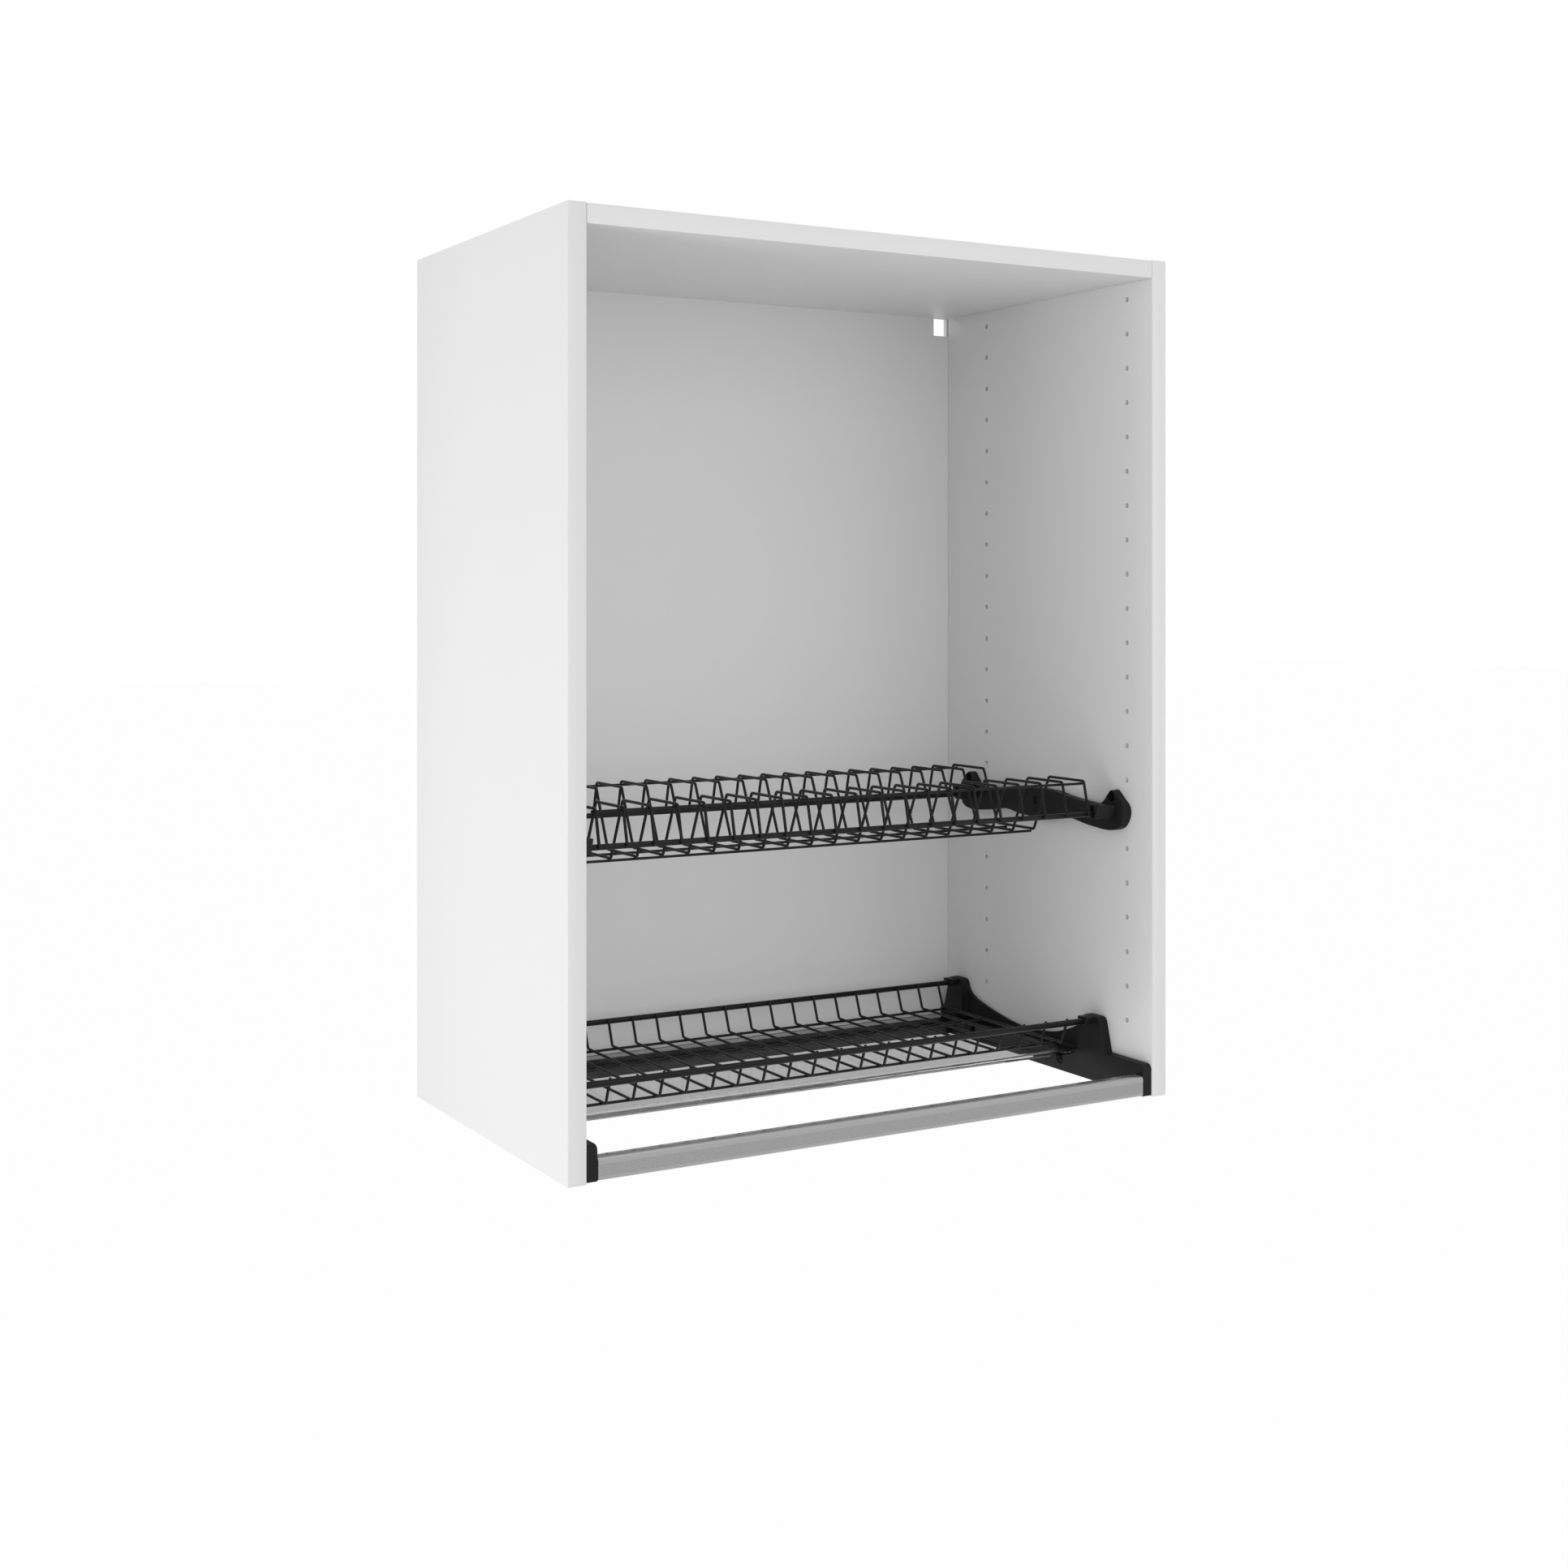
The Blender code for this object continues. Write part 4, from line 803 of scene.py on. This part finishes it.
class DRAINER_OT_brackets(DrainerStep, bpy.types.Operator):
    """Model the base brackets: bar, towers, thin web, rod sockets with roofs, and the ledge for the tray"""

    bl_idname = "drainer.brackets"
    bl_label = "Base brackets"

    def outline(self, low, high, rods):
        nose = quarter((low.y + NOSE_RADIUS, BRACKET_BAR_TOP - NOSE_RADIUS), NOSE_RADIUS, 180)
        front, rear = [(rod.y, BRACKET_BAR_TOP) for rod in rods]
        ramp_size = (rear[0] - front[0], TOWER_SIZE[1])
        waist = shares_of(FRONT_TOWER_FALL_SHARES, front, TOWER_SIZE)
        waist += shares_of(RAMP_SHARES, front, ramp_size)
        waist += shares_of(REAR_TOWER_RISE_SHARES, rear, TOWER_SIZE)
        return [
            (low.y, low.z), *nose, *shares_of(FRONT_TOWER_FOOT_SHARES, front, TOWER_SIZE),
            *flowing(shares_of(FRONT_TOWER_TOP_SHARES, front, TOWER_SIZE), 3), *flowing(waist, 3),
            *shares_of(REAR_TOWER_FALL_SHARES, rear, TOWER_SIZE), (high.y, BRACKET_BAR_TOP), (high.y, low.z),
        ]

    def additions(self, high, rods):
        xs = (wall(BRACKET_THICKNESS - OVERRUN), wall(BRACKET_THICKNESS + SOCKET_LENGTH))
        for rod in rods:
            yield straight_rod("socket", xs[::-1], rod.y, rod.z, SOCKET_DIAMETER, ROUND_SIDES)
            roof_ys = (rod.y - ROOF_REACHES[0], rod.y + ROOF_REACHES[1])
            roof = block("roof", xs, roof_ys, [high.z - drop for drop in ROOF_DROPS])
            bevel_edges(roof, ROOF_ROUND)
            yield roof
        tray_low, tray_high, _ = box_of("drip_tray")
        ledge_xs = (wall(BRACKET_THICKNESS - OVERRUN), wall(BRACKET_THICKNESS + LEDGE_WIDTH))
        ledge_ys = (tray_low.y + LEDGE_INSET, tray_high.y - LEDGE_INSET)
        ledge = block("ledge", ledge_xs, ledge_ys, LEDGE_HEIGHTS)
        bevel_edges(ledge, LEDGE_ROUND)
        yield ledge

    def cuts(self, high, rods):
        outside = wall(BRACKET_THICKNESS + OVERRUN)
        ys = [rod.y + share * TOWER_SIZE[0] for rod, share in zip(rods, TOWER_WALL_SHARES)]
        web = block("web_cut", (outside, wall(BRACKET_WEB)), ys, (TRAY_TOP, high.z + OVERRUN))
        bevel_edges(web, WEB_ROUND, 3)
        yield web
        seat_xs = (outside, wall(BRACKET_THICKNESS - SCREW_HEAD_HEIGHT - GAP))
        for place, _ in ENDS:
            rod_low, rod_high, rod = box_of(f"glass_rack_{place}_rod")
            bore_xs = (wall(BRACKET_THICKNESS + SOCKET_LENGTH + OVERRUN), rod_high.x + GAP)
            yield peg("rod_bore", bore_xs, rod.y, rod.z, rod_high.z - rod_low.z + 2 * GAP)
            screw = box_of(f"bracket_screw_right_{place}")[2]
            yield peg("screw_seat", seat_xs, screw.y, screw.z, SCREW_SEAT_DIAMETER)
            yield peg("screw_bore", (outside, wall(-OVERRUN)), screw.y, screw.z, SCREW_BORE_DIAMETER)

    def execute(self, context):
        low, high, _ = box_of("base_bracket_right")
        rods = rods_of("glass_rack")
        xs = (wall(GAP), wall(BRACKET_THICKNESS))
        bracket = slab("moulded_base_bracket_right", self.outline(low, high, rods), xs)
        bevel_edges(
            bracket, BRACKET_BEND_ROUND, 3,
            lambda edge: abs(edge.verts[0].co.x - edge.verts[1].co.x) > BRACKET_THICKNESS / 2
            and edge.calc_face_angle(0) > BRACKET_BENDS,
        )
        face = wall(BRACKET_THICKNESS - NEAR)
        bevel_edges(bracket, BRACKET_FACE_ROUND, 3, lambda edge: all(vert.co.x < face for vert in edge.verts))
        carve(bracket, self.additions(high, rods), "UNION")
        carve(bracket, self.cuts(high, rods))
        smooth(bracket, SOLID_SMOOTH)
        dress_pair(bracket, "black_plastic", "base_bracket")
        return {"FINISHED"}


ARM_THICKNESS = 0.0085
ARM_DROP = 0.032
ARM_END_SLOPE = 0.0103
ARM_FACE_ROUND = 0.0016
ARM_SCREW_DEPTH = 0.004
ARM_RING_SHARES = (0.3, 0.55, 0.75, 0.9, 1.0)
ARM_HALF_SHARES = (
    (0.2, -0.06), (0.35, -0.16), (0.6, -0.26), (0.742, -0.23), (0.83, 0.13), (0.85, 0.185), (0.87, 0.18),
    (0.932, -0.04), (0.988, -0.24), (1.0, -0.43), (0.984, -0.65), (0.941, -0.87), (0.87, -0.98),
    (0.78, -1.0), (0.68, -0.97), (0.55, -0.91), (0.38, -0.81), (0.19, -0.92),
)
CRADLE_DEPTH = 0.027
CRADLE_DROPS = (0.0205, 0.0076)
CRADLE_REACH = 0.008
CRADLE_LIPS = (0.0043, 0.0086)
CRADLE_FLARE = 0.0038
CRADLE_ROUND = 0.0004
SEAT_LENGTH = 0.009
SEAT_REACH = 0.0028
MARK_DIAMETER = 0.0094
MARK_DEPTH = 0.0012
MARK_DROP = 0.0132


class DRAINER_OT_arms(DrainerStep, bpy.types.Operator):
    """Model the side arms: a waisted plate with two peaks, two open cradles and a round mark"""

    bl_idname = "drainer.arms"
    bl_label = "Side arms"

    def plate(self, middle, z, reach):
        halves = [shares_of(ARM_HALF_SHARES, (middle, z), (way * reach, ARM_DROP)) for _, way in ENDS]
        outline = flowing(halves[0] + halves[1][::-1], 3, closed=True)
        start, face = wall(GAP), wall(ARM_THICKNESS)
        plate = traced_face("moulded_side_arm_right", outline, start)
        with editing(plate):
            bpy.ops.mesh.select_all(action="SELECT")
            at = start
            for share in ARM_RING_SHARES:
                pull(start + share * (face - start) - at)
                at = start + share * (face - start)
                limit = reach - ARM_END_SLOPE * (1 - math.sqrt(1 - share**2))
                for vert in bmesh.from_edit_mesh(plate.data).verts:
                    if vert.select:
                        vert.co.y = middle + max(-limit, min(limit, vert.co.y - middle))
                bmesh.update_edit_mesh(plate.data)
            bpy.ops.mesh.select_all(action="SELECT")
            bpy.ops.mesh.normals_make_consistent(inside=False)
        bevel_edges(
            plate, ARM_FACE_ROUND, 4,
            lambda edge: all(abs(vert.co.x - face) < NEAR for vert in edge.verts),
        )
        return plate

    def cradle(self, z, way, rod_y):
        """A block whose lip leans outwards at the top and flares towards the board, drawn out of a box."""
        root = wall(ARM_THICKNESS - OVERRUN)
        zs = [z - drop for drop in CRADLE_DROPS]
        lip = rod_y + way * CRADLE_LIPS[0]
        cradle = block("cradle", (wall(CRADLE_DEPTH), root), sorted((rod_y - way * CRADLE_REACH, lip)), zs)
        with editing(cradle):
            pick(cradle, "VERT", lambda vert: vert.co.x > root - NEAR and abs(vert.co.y - lip) < NEAR)
            shift(y=way * CRADLE_FLARE)
            pick(cradle, "VERT", lambda vert: vert.co.z > zs[1] - NEAR and way * (vert.co.y - lip) > -NEAR)
            shift(y=way * (CRADLE_LIPS[1] - CRADLE_LIPS[0]))
        bevel_edges(cradle, CRADLE_ROUND)
        return cradle

    def cuts(self, middle, z, rods):
        for rod in rods:
            ys = (rod.y - SEAT_REACH, rod.y + SEAT_REACH)
            xs = (wall(CRADLE_DEPTH + OVERRUN), wall(CRADLE_DEPTH - SEAT_LENGTH - GAP))
            yield block("rod_seat", xs, ys, (rod.z - SEAT_REACH, z + OVERRUN))
        outside = wall(ARM_THICKNESS + OVERRUN)
        mark_xs = (outside, wall(ARM_THICKNESS - MARK_DEPTH))
        yield peg("mark", mark_xs, middle, z - MARK_DROP, MARK_DIAMETER, FINE_SIDES)
        recess_xs = (outside, wall(ARM_THICKNESS - ARM_SCREW_DEPTH))
        through = (wall(ARM_THICKNESS), wall(-OVERRUN))
        for place, _ in ENDS:
            screw = box_of(f"arm_screw_right_{place}")[2]
            yield peg("screw_recess", recess_xs, screw.y, screw.z, SCREW_SEAT_DIAMETER)
            yield peg("screw_bore", through, screw.y, screw.z, SCREW_BORE_DIAMETER)

    def execute(self, context):
        low, high, middle = box_of("side_arm_right")
        z = low.z + ARM_DROP
        rods = rods_of("plate_rack")
        arm = self.plate(middle.y, z, (high.y - low.y) / 2)
        carve(arm, [self.cradle(z, way, rod.y) for (_, way), rod in zip(ENDS, rods)], "UNION")
        carve(arm, self.cuts(middle.y, z, rods))
        smooth(arm, SOLID_SMOOTH)
        dress_pair(arm, "black_plastic", "side_arm")
        return {"FINISHED"}


SCREW_SHANK = 0.0036
SCREW_RIM_SHARE = 0.55
SCREW_CROWN_SHARES = ((0.93, 0.30), (0.8, 0.17), (0.6, 0.08))
SCREW_POINT_SHARE = 0.12
FACING = 0.9
RECESS_ARM = (0.0046, 0.0011)
RECESS_DEPTH = 0.0013


class DRAINER_OT_screws(DrainerStep, bpy.types.Operator):
    """Model one pan-headed screw with a cross recess and place it in the brackets and the arms"""

    bl_idname = "drainer.screws"
    bl_label = "Screws"

    def pattern(self, low, high):
        """A screw along X whose head's crown is at x = 0 and whose point is at its length."""
        length = high.x - low.x
        rim_xs = (SCREW_HEAD_HEIGHT * SCREW_RIM_SHARE, SCREW_HEAD_HEIGHT)
        screw = peg("screw_pattern", rim_xs, 0, 0, SCREW_HEAD_DIAMETER, FINE_SIDES)
        with editing(screw):
            pick(screw, "FACE", lambda face: face.normal.x < -FACING)
            for share, rise in SCREW_CROWN_SHARES:
                pull(x=-rise * SCREW_HEAD_HEIGHT)
                bpy.ops.transform.resize(value=(1, share, share))
            pick(screw, "FACE", lambda face: face.normal.x > FACING)
            bpy.ops.mesh.inset(thickness=(SCREW_HEAD_DIAMETER - SCREW_SHANK) / 2)
            pull(x=length - SCREW_HEAD_HEIGHT - SCREW_SHANK)
            pull(x=SCREW_SHANK)
            bpy.ops.transform.resize(value=(1, SCREW_POINT_SHARE, SCREW_POINT_SHARE))
        long, thin = [(-size / 2, size / 2) for size in RECESS_ARM]
        xs = (-OVERRUN, RECESS_DEPTH)
        carve(screw, [block("slot", xs, long, thin), block("slot", xs, thin, long)])
        smooth(screw, SOLID_SMOOTH)
        return screw

    def execute(self, context):
        for group in ("bracket", "arm"):
            low, high, _ = box_of(f"{group}_screw_right_front")
            pattern = self.pattern(low, high)
            for place, _ in ENDS:
                low, _, middle = box_of(f"{group}_screw_right_{place}")
                name = f"{group}_screw"
                screw = copy_at(pattern, f"cross_{name}_right_{place}", (low.x, middle.y, middle.z))
                twin = mirrored(screw, f"cross_{name}_left_{place}")
                dress(screw, "cabinet", "screw_steel", f"{name}_right_{place}")
                dress(twin, "cabinet", "screw_steel", f"{name}_left_{place}")
            bpy.data.objects.remove(pattern)
        return {"FINISHED"}


RAIL_WALL = 0.0016
RAIL_BRIDGE = 0.006
RAIL_NOSE = 0.0035
RAIL_FOOT = 0.0025
RAIL_BORE = 0.0036
RAIL_ROUND = 0.0006
RIB_COUNT = 8
RIB_PITCH = 0.0012
RIB_DEPTH = 0.0003
RIB_FOOT = 0.0032
RIB_SHARES = ((0, 0), (0.25, 1), (0.6, 1), (0.85, 0))
RIB_SMOOTH = 25
RAIL_GROOVE = (0.0043, 0.0012, 0.001)
RAIL_PIP_SETBACK = 0.0078
RAIL_PIP_INSETS = (0.007, 0.0095)
RAIL_PIP_SIZE = 0.0009
RAIL_PIP_DEPTH = 0.0005


class DRAINER_OT_rails(DrainerStep, bpy.types.Operator):
    """Model the front rail with its ribs, groove and end marks, and the rear rail"""

    bl_idname = "drainer.rails"
    bl_label = "Rails"

    def outline(self, low, high):
        places = quarter((low.y + RAIL_FOOT, low.z + RAIL_FOOT), RAIL_FOOT, 270)
        for index in range(RIB_COUNT):
            foot = low.z + RIB_FOOT + index * RIB_PITCH
            for rise, depth in RIB_SHARES:
                places.append((low.y + depth * RIB_DEPTH, foot + rise * RIB_PITCH))
        places += quarter((low.y + RAIL_NOSE, high.z - RAIL_NOSE), RAIL_NOSE, 180)
        setback, width, depth = RAIL_GROOVE
        start, end, floor = low.y + setback, low.y + setback + width, high.z - depth
        places += [(start, high.z), (start, floor), (end, floor), (end, high.z)]
        return places + [(high.y, high.z), (high.y, low.z)]

    def hollow(self, low, high):
        """The two long chambers and the screw bore between them."""
        xs = (low.x - OVERRUN, high.x + OVERRUN)
        ys = (low.y + RAIL_WALL, high.y - RAIL_WALL)
        middle = (low + high) / 2
        yield block("chamber", xs, ys, (low.z + RAIL_WALL, middle.z - RAIL_BRIDGE / 2))
        yield block("chamber", xs, ys, (middle.z + RAIL_BRIDGE / 2, high.z - RAIL_WALL))
        yield peg("bore", xs, middle.y, middle.z, RAIL_BORE)

    def pips(self, low, high):
        """Two small marks in the lip behind the groove, near each end."""
        half = RAIL_PIP_SIZE / 2
        y = low.y + RAIL_PIP_SETBACK
        zs = (high.z - RAIL_PIP_DEPTH, high.z + OVERRUN)
        for inset in RAIL_PIP_INSETS:
            for x in (low.x + inset, high.x - inset):
                yield block("pip", (x - half, x + half), (y - half, y + half), zs)

    def execute(self, context):
        low, high, _ = box_of("front_rail")
        rail = slab("ribbed_front_rail", self.outline(low, high), (low.x, high.x))
        carve(rail, [*self.hollow(low, high), *self.pips(low, high)])
        smooth(rail, RIB_SMOOTH)
        dress(rail, "cabinet", "anodised_aluminium", "front_rail")
        low, high, _ = box_of("rear_rail")
        rail = block_over("rear_rail", "moulded_rear_rail")
        bevel_edges(rail, RAIL_ROUND)
        carve(rail, self.hollow(low, high))
        smooth(rail, SOLID_SMOOTH)
        dress(rail, "cabinet", "black_plastic", "rear_rail")
        return {"FINISHED"}


TRAY_WALL = 0.0015
TRAY_CORNER = 0.014
TRAY_INSET = 0.004
TRAY_RIMS = (0.010, 0.0165, 0.006)
TRAY_DRAFT = 0.013
TRAY_EDGE_ROUND = 0.0003
TRAY_FOLD = 0.05
TRAY_SMOOTH = 40


class DRAINER_OT_tray(DrainerStep, bpy.types.Operator):
    """Model the clear drip tray: a broad flat rim round a shallow basin with sloping walls"""

    bl_idname = "drainer.tray"
    bl_label = "Drip tray"

    def spread(self, tray, middle, side, front, rear):
        """Moves the selected ring inwards by its own distance at each side."""
        for vert in bmesh.from_edit_mesh(tray.data).verts:
            if vert.select:
                vert.co.x += -side if vert.co.x > 0 else side
                vert.co.y += -rear if vert.co.y > middle.y else front
        bmesh.update_edit_mesh(tray.data)

    def execute(self, context):
        settings = context.scene.drainer_tray
        low, high, middle = box_of("drip_tray")
        floor_z = low.z + TRAY_WALL
        bpy.ops.object.select_all(action="DESELECT")
        bpy.ops.mesh.primitive_plane_add(size=1, location=(middle.x, middle.y, high.z))
        bpy.ops.transform.resize(value=(high.x - low.x, high.y - low.y, 1))
        tray = settle(named("clear_drip_tray"))
        side, front, rear = TRAY_RIMS
        with editing(tray):
            bpy.ops.mesh.select_mode(type="VERT")
            bpy.ops.mesh.select_all(action="SELECT")
            bpy.ops.mesh.bevel(offset=TRAY_CORNER, segments=10, affect="VERTICES", clamp_overlap=False)
            pick(tray, "FACE", lambda face: True)
            bpy.ops.mesh.inset(thickness=TRAY_INSET)
            self.spread(tray, middle, side - TRAY_INSET, front - TRAY_INSET, rear - TRAY_INSET)
            pull(z=floor_z - high.z)
            self.spread(tray, middle, TRAY_DRAFT, TRAY_DRAFT, TRAY_DRAFT)
            pick(tray, "EDGE", lambda edge: len(edge.link_faces) == 2 and edge.calc_face_angle(0) > TRAY_FOLD
                 and abs(edge.verts[0].co.z - edge.verts[1].co.z) < NEAR)
            bpy.ops.mesh.bevel(offset=settings.soft_edge, segments=4, profile=0.5, clamp_overlap=True)
        finish_with(tray, "SOLIDIFY", thickness=TRAY_WALL, offset=-1, use_even_offset=True)
        bevel_edges(tray, TRAY_EDGE_ROUND)
        smooth(tray, TRAY_SMOOTH)
        dress(tray, "drip_tray", "clear_plastic", "drip_tray")
        return {"FINISHED"}


LAMPS = (
    ("front_lamp", (0, -3.3, 0.8), (0, 0, 0.35), (2.6, 2.2), "front_power"),
    ("right_lamp", (1.8, -2.8, 0.6), (0, 0, 0.35), (2, 2), "right_power"),
    ("left_lamp", (-3, -0.2, -0.2), (-0.3, 0, 0.3), (2, 1), "left_power"),
    ("top_lamp", (0.2, -1.8, 2.4), (0, 0, 0.4), (2, 1.4), "top_power"),
)
GLOSSY_LAMP = "top_lamp"
FLOOR_SIZE = 60
FLOOR_Z = -0.9
FLOOR_GREY = 0.9
FLOOR_ROUGHNESS = 0.9
FLOOR_GLOW_SHARE = 0.97
SENSOR_WIDTH = 36
CAMERA_PLACE = (-0.96089, -1.64923, 0.46262)
CAMERA_TURN = math.radians(-30.005)
CAMERA_SHIFT_SHARE = -0.12195
CAMERA_CLIP = (0.05, 100)
WHITE = (1, 1, 1, 1)


class DRAINER_OT_stage(DrainerStep, bpy.types.Operator):
    """Set up the floor, the lamps, the world and the camera"""

    bl_idname = "drainer.stage"
    bl_label = "Studio"

    def execute(self, context):
        settings = context.scene.drainer_studio
        self.floor()
        self.world(context.scene, settings)
        for name, place, aim, size, power in LAMPS:
            self.lamp(name, place, aim, size, getattr(settings, power))
        self.camera(context.scene, settings)
        return {"FINISHED"}

    def white_when_seen(self, tree, lit, white, share):
        """Mixes a lit shader with plain white, which is seen directly, in gloss and through plastic."""
        path = add_node(tree, "ShaderNodeLightPath").outputs
        seen = path["Is Camera Ray"]
        for ray in ("Is Glossy Ray", "Is Transmission Ray"):
            sockets = {0: seen, 1: path[ray]}
            seen = add_node(tree, "ShaderNodeMath", sockets, operation="MAXIMUM").outputs[0]
        part = add_node(tree, "ShaderNodeMath", {0: seen, 1: share}, operation="MULTIPLY").outputs[0]
        mix = add_node(tree, "ShaderNodeMixShader", {0: part, 1: lit.outputs[0], 2: white.outputs[0]})
        return mix.outputs[0]

    def floor(self):
        bpy.ops.object.select_all(action="DESELECT")
        bpy.ops.mesh.primitive_plane_add(size=FLOOR_SIZE, location=(0, 0, FLOOR_Z))
        floor = settle(named("studio_floor"))
        material = bpy.data.materials.new("studio_floor")
        material.use_nodes = True
        tree = material.node_tree
        surface = tree.nodes["Principled BSDF"]
        surface.inputs["Base Color"].default_value = (FLOOR_GREY, FLOOR_GREY, FLOOR_GREY, 1)
        surface.inputs["Roughness"].default_value = FLOOR_ROUGHNESS
        glow = add_node(tree, "ShaderNodeEmission", {"Color": WHITE, "Strength": 1.0})
        shown = self.white_when_seen(tree, surface, glow, FLOOR_GLOW_SHARE)
        tree.links.new(shown, tree.nodes["Material Output"].inputs["Surface"])
        floor.data.materials.append(material)

    def world(self, scene, settings):
        world = bpy.data.worlds.new("studio_world")
        scene.world = world
        world.use_nodes = True
        tree = world.node_tree
        tree.nodes.clear()
        even = add_node(tree, "ShaderNodeBackground", {"Color": WHITE, "Strength": settings.ambient})
        white = add_node(tree, "ShaderNodeBackground", {"Color": WHITE, "Strength": 1.0})
        out = add_node(tree, "ShaderNodeOutputWorld")
        tree.links.new(self.white_when_seen(tree, even, white, 1.0), out.inputs["Surface"])

    def lamp(self, name, place, aim, size, power):
        data = bpy.data.lights.new(name, "AREA")
        data.shape = "RECTANGLE"
        data.size, data.size_y = size
        data.energy = power
        lamp = bpy.data.objects.new(name, data)
        lamp.location = place
        lamp.rotation_euler = (Vector(aim) - Vector(place)).to_track_quat("-Z", "Y").to_euler()
        lamp.visible_glossy = name == GLOSSY_LAMP
        bpy.context.scene.collection.objects.link(lamp)

    def camera(self, scene, settings):
        data = bpy.data.cameras.new("studio_camera")
        data.sensor_width = SENSOR_WIDTH
        data.lens = settings.lens
        data.shift_y = CAMERA_SHIFT_SHARE
        data.clip_start, data.clip_end = CAMERA_CLIP
        camera = bpy.data.objects.new("studio_camera", data)
        camera.location = CAMERA_PLACE
        camera.rotation_euler = (math.radians(90), 0, CAMERA_TURN)
        scene.collection.objects.link(camera)
        scene.camera = camera
        scene.view_settings.view_transform = "Standard"


STEPS = (
    DRAINER_OT_finishes,
    DRAINER_OT_boards,
    DRAINER_OT_brackets,
    DRAINER_OT_arms,
    DRAINER_OT_screws,
    DRAINER_OT_rails,
    DRAINER_OT_tray,
    DRAINER_OT_plate_rack,
    DRAINER_OT_glass_rack,
    DRAINER_OT_stage,
)


class DRAINER_PT_steps(bpy.types.Panel):
    """The steps that dress the drainer, in order, with their sizes and colours"""

    bl_label = "Dish drainer"
    bl_space_type = "VIEW_3D"
    bl_region_type = "UI"
    bl_category = "Drainer"

    def draw(self, context):
        for step in STEPS:
            self.layout.operator(step.bl_idname)
        for name, group in SETTINGS.items():
            for field in group.__annotations__:
                self.layout.prop(getattr(context.scene, name), field)


CLASSES = (*SETTINGS.values(), *STEPS, DRAINER_PT_steps)


def register():
    for entry in CLASSES:
        bpy.utils.register_class(entry)
    for name, group in SETTINGS.items():
        setattr(bpy.types.Scene, name, PointerProperty(type=group))


def unregister():
    for name in SETTINGS:
        delattr(bpy.types.Scene, name)
    for entry in reversed(CLASSES):
        bpy.utils.unregister_class(entry)


def main():
    register()
    for step in STEPS:
        family, label = step.bl_idname.split(".")
        result = getattr(getattr(bpy.ops, family), label)()
        if result != {"FINISHED"}:
            raise RuntimeError(f"{step.bl_label} did not finish")


if __name__ == "__main__":
    main()
